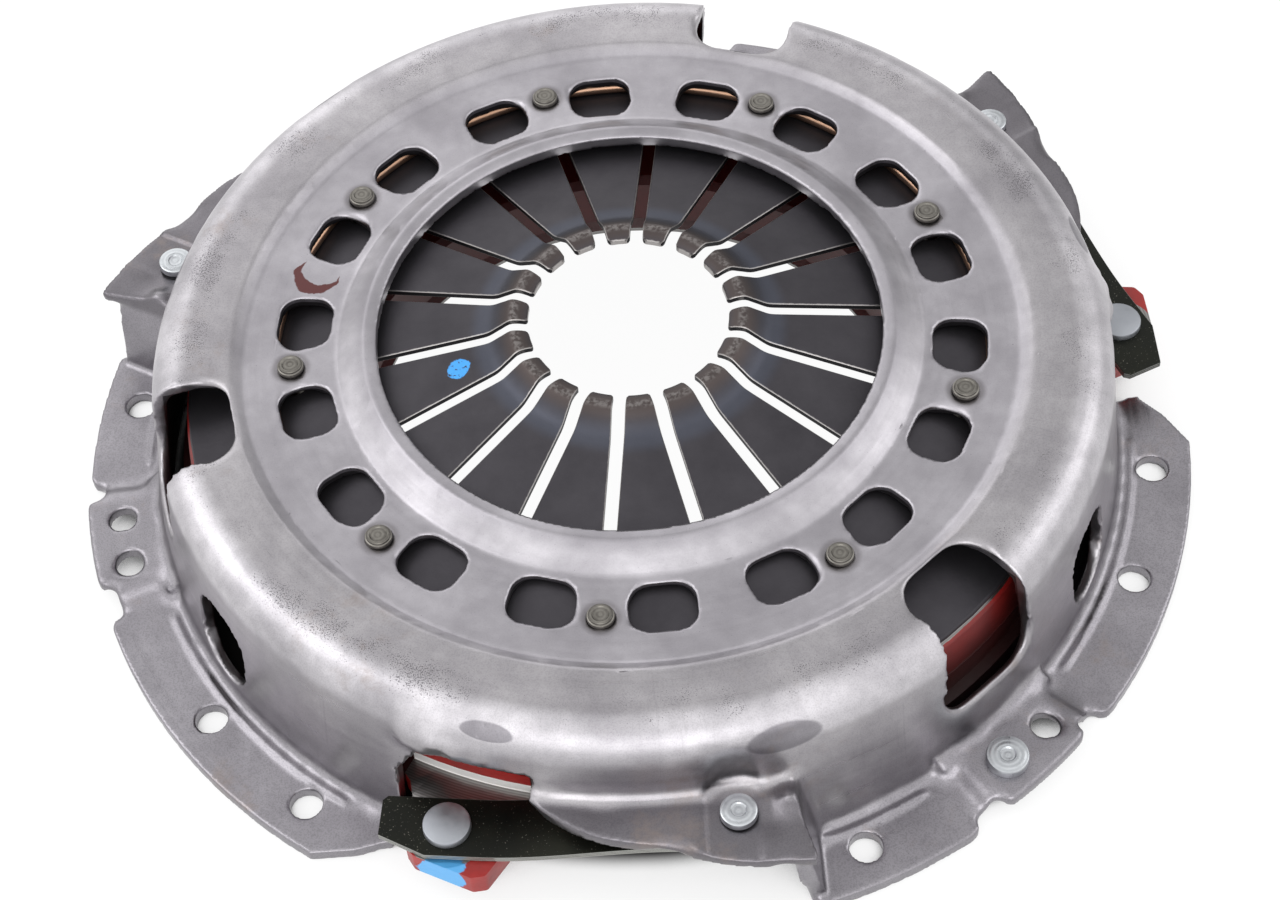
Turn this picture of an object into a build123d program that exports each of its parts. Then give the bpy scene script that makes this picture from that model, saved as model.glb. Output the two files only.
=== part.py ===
from build123d import *
from math import cos, radians, sin, sqrt, tan
import os

# Diaphragm-spring clutch pressure plate (clutch cover assembly), millimetres.
# +Z points from the flywheel to the gearbox. The origin is on the shaft axis, in the
# mounting face: the plane of the underside of the bolting pads. Angles are degrees
# counter-clockwise from +X, seen from +Z. The cover repeats itself every 120 degrees.

SECTORS = 3
FINGERS = 18
RIVETS = 9

# Cast-iron pressure plate. Its outer radius is the size of the clutch: the cover, the spring
# and the straps are laid out around it.
PLATE_OUT_R = 155.0
PLATE_IN_R = 91.5
PLATE_FACE_Z = 8.0            # friction face
PLATE_TOP_Z = 28.0
RIDGE_R = PLATE_OUT_R - 10    # circle on which the spring presses
RIDGE_W = 9.0
LUG_AXIS = 248.0
LUG_W = 27.0
LUG_TOP_Z = 18.6
LUG_BOTTOM_Z = 9.4
LUG_FACE_R = PLATE_OUT_R - 3.7    # the turned face of the lugs runs in to this turned wall
TAIL_R = 7.2
TAIL_H = 2.8

# Pressed steel cover
SHEET = 4.5
PLATE_ROOM = 5.5              # between the plate and the inside of the skirt's foot
FACE_Z = 61.0                 # top of the flat ring that carries the fulcrum rivets
BAND_RISE = 2.5
BAND_Z = FACE_Z + BAND_RISE   # top of the raised outer band
SKIRT_FOOT_R = PLATE_OUT_R + PLATE_ROOM + SHEET    # outside of the skirt where it meets the pads
SKIRT_DRAFT = 7.0             # the skirt is this much narrower at the band
SHOULDER_R = SKIRT_FOOT_R - SKIRT_DRAFT            # sharp corner of band and skirt
SHOULDER_ROUND = 11.0
BAND_W = 28.0
STEP_R = SHOULDER_R - BAND_W  # the small step between flat ring and band
PAD_TOP_Z = SHEET             # bolting pads lie on the flywheel
TAB_Z = 5.1                   # underside of the raised tabs
FLAP_Z = 33.0                 # underside of the flaps that hold the straps
OPENING_Z = 44.2              # top edge of the three lug openings
BEND_R = 4.0                  # inside radius of the flange bends
CORNER_R = 4.5                # outer corners of pads and tabs
RAMP_HALF = 3.4
SKIRT_TAPER = SKIRT_DRAFT / (BAND_Z - PAD_TOP_Z)
INSIDE_R = SKIRT_FOOT_R - 25  # tools that cut the skirt start here

# Holes and edge of the flange
BOLT_PITCH_R = SKIRT_FOOT_R + 11.6
BOLT_HOLE_R = 5.3             # clearance for M10
BOLT_ANGLES = (170.4, 215.3, 230.3)
TAB_PITCH_R = BOLT_PITCH_R + 1.5
TAB_HOLE_R = 4.65             # dowel and balance rivet holes
TAB_ANGLES = (187.5, 193.3)
BALANCE_ANGLE = 307.5
FLANGE_R = BOLT_PITCH_R + 13.1
RAMP_R = FLANGE_R - 4.7       # the outline is notched back to this at the ramps
EDGE_ROOM = 0.372             # the lug opening runs out this far past the end of the long pad

# Sector layout, degrees, first sector
BLOCK = (163.5, 181.5)        # short pad with one bolt hole
TAB = (184.1, 195.7)          # raised tab with two small holes
LONG_PAD = (198.6, 254.3)     # long pad with two bolt holes, and on over the lug opening
FLAP = (254.3, 283.6)         # high flap that holds the straps
FLAP_AXIS = 270.0             # the flap and its end wall are pressed square to this
OPENING_AXIS = 247.2
SHOULDER_AXIS = 190.4         # middle of the large shoulder opening
SKIRT_OPENING_AXIS = 211.8
OPENING_X = FLANGE_R * tan(radians(LONG_PAD[1] - OPENING_AXIS)) + EDGE_ROOM
WALL_TOP_X = SKIRT_FOOT_R * tan(radians(13.8))     # end wall of the flap, across FLAP_AXIS
WALL_FOOT_X = WALL_TOP_X + 7

# Fulcrum
RING_R = RIDGE_R - 25.7       # centre circle of both fulcrum rings
WIRE_D = 4.0
PITCH_R = RING_R - 7.3        # circle of the fulcrum rivets and of the spring's keyholes
RIVET_START = 102.3
WINDOW_R = PITCH_R - 3.4
WINDOW_W = 21.0
WINDOW_D = 17.6
RUN_GAP = 0.1                 # running gap between the spring and what it rolls on

# Mouth of the cover, with a stiffening lip
LIP_FOOT_R = WINDOW_R - WINDOW_D / 2 - 2.8
LIP_R = LIP_FOOT_R - 13.8
LIP_Z = FACE_Z + 6.4

# Diaphragm spring
SPRING_T = 2.5
SPRING_R = RIDGE_R + 3.4
SPRING_SLOPE = 0.1864         # cone, rise towards the centre
SLOT_W = 4.3
KEYHOLE_R = 5.6
TIP_R = 33.0
CONE_SEC = sqrt(1 + SPRING_SLOPE ** 2)
RING_TOP_Z = FACE_Z - SHEET - WIRE_D / 2
SPRING_TOP = RING_TOP_Z - WIRE_D / 2 * CONE_SEC - RUN_GAP      # upper face at RING_R
SPRING_BOT = SPRING_TOP - SPRING_T * CONE_SEC
RING_LOW_Z = SPRING_BOT - RUN_GAP - WIRE_D / 2 * CONE_SEC
RIDGE_TOP_Z = SPRING_BOT - SPRING_SLOPE * (RIDGE_R - RING_R) - RUN_GAP

# Fulcrum rivets
RIVET_SHANK_R = 3.25
RIVET_BODY_R = 3.7
RIVET_HEAD_R = 4.4
RIVET_HEAD_H = 2.2
RIVET_FOOT_R = 8.4
RIVET_FOOT_H = 3.2
RIVET_FOOT_Z = RING_LOW_Z - WIRE_D / 2

# Straps: three packs of spring-steel leaves
LEAF_T = 0.8
LEAVES = 3
STRAP_W = 20.0
STRAP_LUG = (BOLT_PITCH_R - 6.0, 246.99)   # radius, angle of the lug rivet
STRAP_COVER = (BOLT_PITCH_R - 6.4, 277.49)
STRAP_HOLE_R = 4.6
STRAP_HOLE_COVER_R = 3.85
STRAP_END = 21.0              # leaf beyond the lug rivet
STRAP_TAIL = 10.8             # leaf beyond the cover rivet
STRAP_FLAT = 10.0             # half length of the flat ends next to the rivets
LUG_R = STRAP_LUG[0] + 13.1   # outermost edge of the plate's lugs
LUG_HEAD_R = 7.5
LUG_HEAD_H = 2.5
COVER_HEAD_R = 5.8
COVER_HEAD_H = 2.4
BALANCE_R = 6.85
BALANCE_H = 3.5
RIVET_FIT = 0.05              # radial gap of every rivet in its hole
POCKET_R = SKIRT_FOOT_R - 7   # the tool pocket above each cover rivet reaches in to here
POCKET_W = 21.0
POCKET_DRAFT = 2.0            # its wall leans outwards, degrees


def polar(radius, angle):
    """Point of the plan view given by radius and angle."""
    return (radius * cos(radians(angle)), radius * sin(radians(angle)))


def skirt_r(z):
    """Outer radius of the tapered skirt at a height."""
    return SHOULDER_R + (BAND_Z - z) * SKIRT_TAPER


def section_plane(angle):
    """Upright plane through the axis: x runs outwards at the angle, y is up."""
    return Plane(
        origin=(0, 0, 0),
        x_dir=(cos(radians(angle)), sin(radians(angle)), 0),
        z_dir=(sin(radians(angle)), -cos(radians(angle)), 0),
    )


def facing_plane(angle, distance=0.0):
    """Upright plane square to a radius: x runs counter-clockwise, y is up."""
    return Plane(
        origin=(*polar(distance, angle), 0),
        x_dir=(-sin(radians(angle)), cos(radians(angle)), 0),
        z_dir=(cos(radians(angle)), sin(radians(angle)), 0),
    )


def level_plane(radius, angle, z):
    """Level plane at a point of the plan view: x runs outwards at the angle."""
    return Plane(
        origin=(*polar(radius, angle), z),
        x_dir=(cos(radians(angle)), sin(radians(angle)), 0),
        z_dir=(0, 0, 1),
    )


def shoulder_plane(angle, lean, depth):
    """Plane below the rounded shoulder by a depth; lean turns it from level to upright, degrees."""
    centre_z = BAND_Z - SHOULDER_ROUND
    centre_r = skirt_r(centre_z) - SHOULDER_ROUND * sqrt(1 + SKIRT_TAPER ** 2)
    reach = SHOULDER_ROUND - depth
    out = sin(radians(lean))
    up = cos(radians(lean))
    return Plane(
        origin=(*polar(centre_r + reach * out, angle), centre_z + reach * up),
        x_dir=(-sin(radians(angle)), cos(radians(angle)), 0),
        z_dir=(cos(radians(angle)) * out, sin(radians(angle)) * out, up),
    )


def flange_sector(level, rim_r, start, end):
    """Lower skirt, bend and flange at one level, between two angles."""
    top = level + SHEET
    with BuildPart() as sector:
        with BuildSketch(section_plane(start)):
            with BuildLine():
                outer = FilletPolyline(
                    (skirt_r(OPENING_Z), OPENING_Z),
                    (skirt_r(top), top),
                    (rim_r, top),
                    radius=BEND_R,
                )
                inner = FilletPolyline(
                    (skirt_r(OPENING_Z) - SHEET, OPENING_Z),
                    (skirt_r(level) - SHEET, level),
                    (rim_r, level),
                    radius=BEND_R + SHEET,
                )
                Line(outer @ 0, inner @ 0)
                Line(outer @ 1, inner @ 1)
            make_face()
        revolve(axis=Axis.Z, revolution_arc=end - start)
        # plan outline with rounded outer corners
        with BuildSketch(Plane.XY.offset(level - 1)) as outline:
            with BuildLine():
                near = CenterArc((0, 0), INSIDE_R, start, end - start)
                rim = CenterArc((0, 0), rim_r, start, end - start)
                Line(near @ 0, rim @ 0)
                Line(near @ 1, rim @ 1)
            make_face()
            corners = outline.vertices().filter_by(
                lambda v: Vector(*v.center()).length > SKIRT_FOOT_R + 15
            )
            fillet(corners, radius=CORNER_R)
        extrude(amount=FACE_Z, mode=Mode.INTERSECT)
    return sector.part


def ramp(low_z, high_z, angle, rise):
    """Short slope in the flange between two levels; rise is +1 when it climbs with the angle."""
    w = RAMP_HALF
    low_x = -rise * w
    high_x = rise * w
    with BuildPart() as slope:
        with BuildSketch(facing_plane(angle, SKIRT_FOOT_R - 2)):
            with BuildLine():
                Polyline(
                    (2 * low_x, low_z),
                    (2 * low_x, low_z + SHEET),
                    (0.7 * low_x, low_z + SHEET),
                    (0.9 * high_x, high_z + SHEET),
                    (1.6 * high_x, high_z + SHEET),
                    (1.6 * high_x, high_z),
                    (1.1 * high_x, high_z),
                    (0.5 * low_x, low_z),
                    close=True,
                )
            make_face()
        extrude(amount=RAMP_R - SKIRT_FOOT_R + 2)
    return slope.part


# ---------------------------------------------------------------- pressed cover
# strap flap: its free edge sweeps outwards from the lug opening to the end wall
with BuildPart() as flap:
    add(flange_sector(FLAP_Z, FLANGE_R + 3, *FLAP))
    with BuildSketch(Plane.XY.offset(FLAP_Z - 1)):
        with BuildLine():
            free_edge = Spline(
                polar(FLANGE_R - 30.9, 252.6),
                polar(FLANGE_R - 26.9, 254.9),
                polar(FLANGE_R - 18.6, 260.2),
                polar(FLANGE_R - 15.0, 263.8),
                polar(FLANGE_R - 11.5, 270.0),
                polar(FLANGE_R - 5.3, 275.5),
                polar(FLANGE_R - 0.6, 281.0),
                polar(FLANGE_R + 2.9, 285.1),
            )
            Polyline(
                free_edge @ 0,
                polar(INSIDE_R + 1, 252.7),
                polar(INSIDE_R + 1, 288.1),
                free_edge @ 1,
            )
        make_face()
    extrude(amount=20, mode=Mode.INTERSECT)

# end wall that steps down from the flap to the next pad, solid up to the flap's own room
with BuildPart() as end_wall:
    with BuildSketch(facing_plane(FLAP_AXIS, SKIRT_FOOT_R - 13)):
        with BuildLine():
            FilletPolyline(
                (WALL_TOP_X - 12, FLAP_Z + SHEET),
                (WALL_TOP_X, FLAP_Z + SHEET),
                (WALL_FOOT_X, SHEET),
                (WALL_FOOT_X + 5, SHEET),
                radius=2,
            )
            Polyline(
                (WALL_FOOT_X + 5, SHEET),
                (WALL_FOOT_X + 5, 0),
                (WALL_TOP_X - 12, 0),
                (WALL_TOP_X - 12, FLAP_Z + SHEET),
            )
        make_face()
    extrude(amount=40)
    with BuildSketch(Plane.XY.offset(-2)):
        Circle(FLANGE_R - 3.2)
        Circle(SKIRT_FOOT_R - 4, mode=Mode.SUBTRACT)
    extrude(amount=60, mode=Mode.INTERSECT)

# metal behind the pocket that is pressed in above each strap rivet
with BuildPart() as pocket_metal:
    with BuildSketch(Plane.XZ):
        with BuildLine():
            ceiling = FilletPolyline(
                (SHOULDER_R - 30, BAND_Z - 0.4),
                (SHOULDER_R - 0.4, BAND_Z - 0.4),
                (skirt_r(FLAP_Z + 0.6) - 0.4, FLAP_Z + 0.6),
                radius=SHOULDER_ROUND,
            )
            Polyline(ceiling @ 0, (SHOULDER_R - 30, FLAP_Z + 0.6), ceiling @ 1)
        make_face()
    revolve(axis=Axis.Z)
    with BuildSketch(level_plane(POCKET_R - SHEET, STRAP_COVER[1], FLAP_Z)):
        with Locations((20, 0)):
            RectangleRounded(40, POCKET_W + 2 * SHEET, 9)
    extrude(amount=BAND_Z - FLAP_Z, taper=POCKET_DRAFT, mode=Mode.INTERSECT)

# one sector of the lower skirt and flange
with BuildPart() as sector_metal:
    add(flange_sector(0, FLANGE_R, *BLOCK))
    add(flange_sector(TAB_Z, FLANGE_R, *TAB))
    add(flange_sector(0, FLANGE_R, *LONG_PAD))
    add(flange_sector(TAB_Z, SKIRT_FOOT_R + BEND_R, BLOCK[1], TAB[0]))
    add(flange_sector(TAB_Z, SKIRT_FOOT_R + BEND_R, TAB[1], LONG_PAD[0]))
    add(ramp(0, TAB_Z, (BLOCK[1] + TAB[0]) / 2, 1))
    add(ramp(0, TAB_Z, (TAB[1] + LONG_PAD[0]) / 2, -1))
    add(flap.part)
    add(end_wall.part)

# what is cut from one sector
with BuildPart() as sector_cuts:
    # opening for the plate's lug
    with BuildSketch(facing_plane(OPENING_AXIS, INSIDE_R)) as gate:
        with BuildLine():
            Polyline(
                (-20.5, -2),
                (-20.5, OPENING_Z - 15),
                (-11.5, OPENING_Z),
                (OPENING_X, OPENING_Z),
                (OPENING_X, -2),
                close=True,
            )
        make_face()
        fillet(gate.vertices().filter_by(lambda v: OPENING_Z - 16 < v.Z < OPENING_Z - 1), radius=5)
    extrude(amount=60)
    # the outer corner of the long pad is cut back towards the opening
    with BuildSketch(Plane.XY.offset(-2)):
        with BuildLine():
            Polyline(
                polar(FLANGE_R + 1, 233.6),
                polar(FLANGE_R - 7.7, 237.6),
                polar(FLANGE_R - 14.7, 240.0),
                polar(FLANGE_R - 16.2, 242.5),
                polar(FLANGE_R + 12, 243),
                close=True,
            )
        make_face()
    extrude(amount=12)
    # room under the flap, up to the end wall
    with BuildSketch(facing_plane(FLAP_AXIS, INSIDE_R)):
        with BuildLine():
            room = FilletPolyline(
                (WALL_FOOT_X - SHEET, -2),
                (WALL_FOOT_X - SHEET, 0),
                (WALL_TOP_X - SHEET, FLAP_Z),
                (0, FLAP_Z),
                radius=1.5,
            )
            Polyline(room @ 1, (0, -2), room @ 0)
        make_face()
    extrude(amount=60)
    # pocket above the strap rivet, for the riveting tool
    with BuildSketch(level_plane(POCKET_R, STRAP_COVER[1], FLAP_Z + SHEET)):
        with Locations((30, 0)):
            RectangleRounded(60, POCKET_W, 8)
    extrude(amount=BAND_Z - FLAP_Z, taper=POCKET_DRAFT)
    # large opening in the shoulder, over the raised tab
    lean = sqrt(0.5)
    near = (BAND_Z - SHOULDER_R + 24) * lean
    far = (PLATE_TOP_Z + 2 - SKIRT_FOOT_R) * lean
    out_x = cos(radians(SHOULDER_AXIS)) * lean
    out_y = sin(radians(SHOULDER_AXIS)) * lean
    with BuildSketch(
        Plane(
            origin=(90 * out_x, 90 * out_y, 90 * lean),
            x_dir=(-sin(radians(SHOULDER_AXIS)), cos(radians(SHOULDER_AXIS)), 0),
            z_dir=(out_x, out_y, lean),
        )
    ) as opening:
        with BuildLine():
            Polyline((-15.5, near), (15.5, near), (20, far), (-20, far), close=True)
        make_face()
        fillet(opening.vertices(), radius=9)
    extrude(amount=90)
    # two flats that the press leaves in the shoulder, beside the flap
    with BuildSketch(shoulder_plane(OPENING_AXIS + 3.7, 52, 0.35)):
        Ellipse(8.2, 2.8)
    extrude(amount=6)
    with BuildSketch(shoulder_plane(FLAP[1] + 0.2, 78, 0.6)):
        Polygon((-13.5, 4), (13.5, 5.5), (1.5, -9.5), align=None)
    extrude(amount=6)
    # oblong opening low in the skirt, over the long pad
    with BuildSketch(facing_plane(SKIRT_OPENING_AXIS, INSIDE_R)):
        with Locations((0, 24.4)):
            RectangleRounded(27.5, 31, 11)
    extrude(amount=40)

with BuildPart() as cover:
    # dome: lip, flat ring, step, band, shoulder and the upper skirt
    with BuildSketch(Plane.XZ):
        with BuildLine():
            top_line = FilletPolyline(
                (LIP_R, LIP_Z - 0.9),
                (LIP_R + 4.2, LIP_Z),
                (LIP_FOOT_R, FACE_Z),
                (STEP_R - 2, FACE_Z),
                (STEP_R + 2, BAND_Z),
                (SHOULDER_R - 14, BAND_Z),
                radius=1.9,
            )
            shoulder = FilletPolyline(
                top_line @ 1,
                (SHOULDER_R, BAND_Z),
                (skirt_r(OPENING_Z), OPENING_Z),
                radius=SHOULDER_ROUND,
            )
            low_line = FilletPolyline(
                (LIP_R, LIP_Z - 0.9 - SHEET),
                (LIP_R + 3, LIP_Z - SHEET - 0.6),
                (LIP_FOOT_R + 0.5, FACE_Z - SHEET),
                (STEP_R - 0.6, FACE_Z - SHEET),
                (STEP_R + 3.4, BAND_Z - SHEET),
                (SHOULDER_R - 14, BAND_Z - SHEET),
                radius=1.9,
            )
            low_shoulder = FilletPolyline(
                low_line @ 1,
                (SHOULDER_R - SHEET, BAND_Z - SHEET),
                (skirt_r(OPENING_Z) - SHEET, OPENING_Z),
                radius=SHOULDER_ROUND - SHEET,
            )
            Line(top_line @ 0, low_line @ 0)
            Line(shoulder @ 1, low_shoulder @ 1)
        make_face()
    revolve(axis=Axis.Z)

    with PolarLocations(0, SECTORS):
        add(sector_metal.part)
        add(pocket_metal.part)
        add(sector_cuts.part, mode=Mode.SUBTRACT)

    # windows of the flat ring, one over each finger
    with BuildSketch(Plane.XY.offset(BAND_Z)):
        with PolarLocations(WINDOW_R, FINGERS, start_angle=RIVET_START + 180 / FINGERS):
            RectangleRounded(WINDOW_D, WINDOW_W, 6.6)
    extrude(amount=-2 * SHEET, mode=Mode.SUBTRACT)

    # bolt, dowel and rivet holes
    with BuildSketch(Plane.XY.offset(-2)):
        for angle in BOLT_ANGLES:
            with PolarLocations(BOLT_PITCH_R, SECTORS, start_angle=angle):
                Circle(BOLT_HOLE_R)
        for angle in TAB_ANGLES:
            with PolarLocations(TAB_PITCH_R, SECTORS, start_angle=angle):
                Circle(TAB_HOLE_R)
    extrude(amount=15, mode=Mode.SUBTRACT)
    with BuildSketch(Plane.XY.offset(FLAP_Z - 1)):
        with PolarLocations(STRAP_COVER[0], SECTORS, start_angle=STRAP_COVER[1]):
            Circle(STRAP_HOLE_COVER_R)
    extrude(amount=SHEET + 2, mode=Mode.SUBTRACT)
    with BuildSketch(Plane.XY.offset(FACE_Z + 1)):
        with PolarLocations(PITCH_R, RIVETS, start_angle=RIVET_START):
            Circle(RIVET_SHANK_R + RIVET_FIT)
    extrude(amount=-SHEET - 2, mode=Mode.SUBTRACT)

# ---------------------------------------------------------------- diaphragm spring
with BuildPart() as diaphragm_spring:
    with BuildSketch(Plane.XZ):
        bend_r = TIP_R + 17
        bend_z = SPRING_TOP + SPRING_SLOPE * (RING_R - bend_r)
        rim_z = SPRING_TOP + SPRING_SLOPE * (RING_R - SPRING_R)
        drop = SPRING_T * CONE_SEC
        with BuildLine():
            # each finger rises to a crest for the release bearing and dips at its tip
            upper = Spline(
                (bend_r, bend_z),
                (TIP_R + 13.2, bend_z + 1.0),
                (TIP_R + 9.2, bend_z + 3.7),
                (TIP_R + 5.2, bend_z + 6.0),
                (TIP_R, bend_z + 4.6),
                tangents=((-1, SPRING_SLOPE), (-1, -0.55)),
            )
            lower = Spline(
                (bend_r, bend_z - drop),
                (TIP_R + 13.2, bend_z + 1.0 - drop),
                (TIP_R + 9.2, bend_z + 3.7 - drop),
                (TIP_R + 5.2, bend_z + 6.0 - drop),
                (TIP_R, bend_z + 4.6 - drop),
                tangents=((-1, SPRING_SLOPE), (-1, -0.55)),
            )
            Polyline(upper @ 0, (SPRING_R, rim_z), (SPRING_R, rim_z - drop), lower @ 0)
            Line(upper @ 1, lower @ 1)
        make_face()
    revolve(axis=Axis.Z)
    # radial slots that end in keyholes; every second keyhole lets a fulcrum rivet through
    with BuildSketch(Plane.XY.offset(rim_z - 10)):
        with PolarLocations(0, FINGERS, start_angle=RIVET_START):
            with Locations(((TIP_R - 8 + PITCH_R) / 2, 0)):
                Rectangle(PITCH_R - TIP_R + 8, SLOT_W)
            with Locations((PITCH_R, 0)):
                Circle(KEYHOLE_R)
    extrude(amount=50, mode=Mode.SUBTRACT)


def fulcrum_ring(z):
    """Round wire ring that the spring rolls on."""
    with BuildPart() as ring:
        with BuildSketch(Plane.XZ):
            with Locations((RING_R, z)):
                Circle(WIRE_D / 2)
        revolve(axis=Axis.Z)
    return ring.part


def turned(profile):
    """Solid of revolution about Z from (radius, height) points, axis to axis."""
    with BuildPart() as solid:
        with BuildSketch(Plane.XZ):
            with BuildLine():
                Polyline(*profile, close=True)
            make_face()
        revolve(axis=Axis.Z)
    return solid.part


# ---------------------------------------------------------------- fulcrum
with BuildPart() as fulcrum_ring_upper:
    add(fulcrum_ring(RING_TOP_Z))

with BuildPart() as fulcrum_ring_lower:
    add(fulcrum_ring(RING_LOW_Z))

with BuildPart() as fulcrum_rivets:
    head_top = FACE_Z + RIVET_HEAD_H
    foot_low = RIVET_FOOT_Z - RIVET_FOOT_H
    stepped = turned([
        (0, foot_low),
        (RIVET_FOOT_R - 0.8, foot_low),
        (RIVET_FOOT_R, foot_low + 0.8),
        (RIVET_FOOT_R, RIVET_FOOT_Z),
        (RIVET_BODY_R, RIVET_FOOT_Z),
        (RIVET_BODY_R, FACE_Z - SHEET),
        (RIVET_SHANK_R, FACE_Z - SHEET),
        (RIVET_SHANK_R, FACE_Z),
        (RIVET_HEAD_R, FACE_Z),
        (RIVET_HEAD_R, FACE_Z + 1.1),
        (RIVET_HEAD_R - 0.5, FACE_Z + 1.5),
        (RIVET_HEAD_R - 0.7, head_top - 0.3),
        (RIVET_HEAD_R - 1.0, head_top),
        (RIVET_HEAD_R - 1.7, head_top),
        (RIVET_HEAD_R - 2.0, head_top - 0.3),
        (0, head_top - 0.3),
    ])
    with PolarLocations(PITCH_R, RIVETS, start_angle=RIVET_START):
        add(stepped)

# ---------------------------------------------------------------- pressure plate
with BuildPart() as pressure_plate:
    with BuildSketch(Plane.XZ):
        with BuildLine():
            Polyline(
                (PLATE_IN_R, PLATE_FACE_Z),
                (PLATE_OUT_R - 1, PLATE_FACE_Z),
                (PLATE_OUT_R, PLATE_FACE_Z + 1),
                (PLATE_OUT_R, LUG_TOP_Z),
                (LUG_FACE_R, LUG_TOP_Z),
                (LUG_FACE_R, PLATE_TOP_Z),
                (RIDGE_R + RIDGE_W / 2 + 1.5, PLATE_TOP_Z),
                (RIDGE_R + RIDGE_W / 2, RIDGE_TOP_Z - 2.5),
                (RIDGE_R + RIDGE_W / 2 - 2.2, RIDGE_TOP_Z - 0.4),
                (RIDGE_R, RIDGE_TOP_Z),
                (RIDGE_R - RIDGE_W / 2 + 2.2, RIDGE_TOP_Z - 1.2),
                (RIDGE_R - RIDGE_W / 2, RIDGE_TOP_Z - 3.2),
                (RIDGE_R - RIDGE_W / 2 - 2.5, PLATE_TOP_Z + 2),
                (RIDGE_R - RIDGE_W / 2 - 4.5, PLATE_TOP_Z),
                (PLATE_IN_R + 9, PLATE_TOP_Z),
                (PLATE_IN_R + 6, PLATE_TOP_Z - 2),
                (PLATE_IN_R + 2.7, PLATE_FACE_Z + 4),
                (PLATE_IN_R, PLATE_FACE_Z + 1.3),
                close=True,
            )
        make_face()
    revolve(axis=Axis.Z)
    # three lugs for the straps, flared where they leave the ring
    for k in range(SECTORS):
        with BuildSketch(level_plane(0, LUG_AXIS + 360 / SECTORS * k, LUG_BOTTOM_Z)) as lug:
            with BuildLine():
                Polyline(
                    (PLATE_OUT_R - 12, -LUG_W / 2 - 15),
                    (PLATE_OUT_R - 3.5, -LUG_W / 2 - 15),
                    (PLATE_OUT_R, -LUG_W / 2 - 10.5),
                    (PLATE_OUT_R + 2.5, -LUG_W / 2 - 7.2),
                    (PLATE_OUT_R + 7, -LUG_W / 2 - 4.7),
                    (LUG_R - 5, -LUG_W / 2 - 0.7),
                    (LUG_R - 2, -LUG_W / 2 + 3),
                    (LUG_R, LUG_W / 2 - 4),
                    (LUG_R - 2, LUG_W / 2),
                    (PLATE_OUT_R + 16, LUG_W / 2 + 3),
                    (PLATE_OUT_R + 6, LUG_W / 2 + 5.5),
                    (PLATE_OUT_R + 2.5, LUG_W / 2 + 7),
                    (PLATE_OUT_R - 0.5, LUG_W / 2 + 11),
                    (PLATE_OUT_R - 4, LUG_W / 2 + 14),
                    (PLATE_OUT_R - 12, LUG_W / 2 + 14),
                    close=True,
                )
            make_face()
            fillet(
                lug.vertices().filter_by(lambda v: Vector(v.X, v.Y).length > LUG_R - 8),
                radius=2,
            )
        extrude(amount=LUG_TOP_Z - LUG_BOTTOM_Z)
    with BuildSketch(Plane.XY.offset(LUG_BOTTOM_Z - 3)):
        with PolarLocations(STRAP_LUG[0], SECTORS, start_angle=STRAP_LUG[1]):
            Circle(STRAP_HOLE_R)
    extrude(amount=20, mode=Mode.SUBTRACT)
    with BuildSketch(Plane.XY.offset(LUG_BOTTOM_Z - 3)):
        with PolarLocations(STRAP_LUG[0], SECTORS, start_angle=STRAP_LUG[1]):
            Circle(TAIL_R + 0.8)
    extrude(amount=3 + TAIL_H + 0.4, mode=Mode.SUBTRACT)


# ---------------------------------------------------------------- straps and their rivets
def strap_leaf(sector, leaf):
    """One leaf of a strap pack: flat at both rivets, bent up to the flap in between."""
    turn = 360 / SECTORS * sector
    start = Vector(*polar(STRAP_LUG[0], STRAP_LUG[1] + turn), 0)
    along = Vector(*polar(STRAP_COVER[0], STRAP_COVER[1] + turn), 0) - start
    length = along.length
    run = along.normalized()
    side = run.cross(Vector(0, 0, 1))
    low = LUG_TOP_Z + leaf * LEAF_T
    high = FLAP_Z - (LEAVES - leaf) * LEAF_T
    with BuildPart() as strip:
        with BuildSketch(Plane(origin=start, x_dir=run, z_dir=side)):
            with BuildLine():
                under = Spline(
                    (STRAP_FLAT, low),
                    (length - STRAP_FLAT, high),
                    tangents=((1, 0), (1, 0)),
                )
                over = Spline(
                    (STRAP_FLAT, low + LEAF_T),
                    (length - STRAP_FLAT, high + LEAF_T),
                    tangents=((1, 0), (1, 0)),
                )
                Polyline(under @ 0, (-STRAP_END, low), (-STRAP_END, low + LEAF_T), over @ 0)
                Polyline(
                    under @ 1,
                    (length + STRAP_TAIL, high),
                    (length + STRAP_TAIL, high + LEAF_T),
                    over @ 1,
                )
            make_face()
        extrude(amount=STRAP_W / 2, both=True)
        flat = Plane(origin=start + Vector(0, 0, low - 2), x_dir=run, z_dir=(0, 0, 1))
        with BuildSketch(flat):
            with BuildLine():
                Polyline(
                    (-STRAP_END, -STRAP_W / 2 + 6.3),
                    (-STRAP_END, STRAP_W / 2 - 1.5),
                    (-STRAP_END + 1.5, STRAP_W / 2),
                    (length + STRAP_TAIL - 3, STRAP_W / 2),
                    (length + STRAP_TAIL, STRAP_W / 2 - 3),
                    (length + STRAP_TAIL, -STRAP_W / 2 + 3),
                    (length + STRAP_TAIL - 3, -STRAP_W / 2),
                    (-6, -STRAP_W / 2),
                    close=True,
                )
            make_face()
            Circle(STRAP_HOLE_R, mode=Mode.SUBTRACT)
            with Locations((length, 0)):
                Circle(STRAP_HOLE_COVER_R, mode=Mode.SUBTRACT)
        extrude(amount=FLAP_Z, mode=Mode.INTERSECT)
    return strip.part


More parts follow.
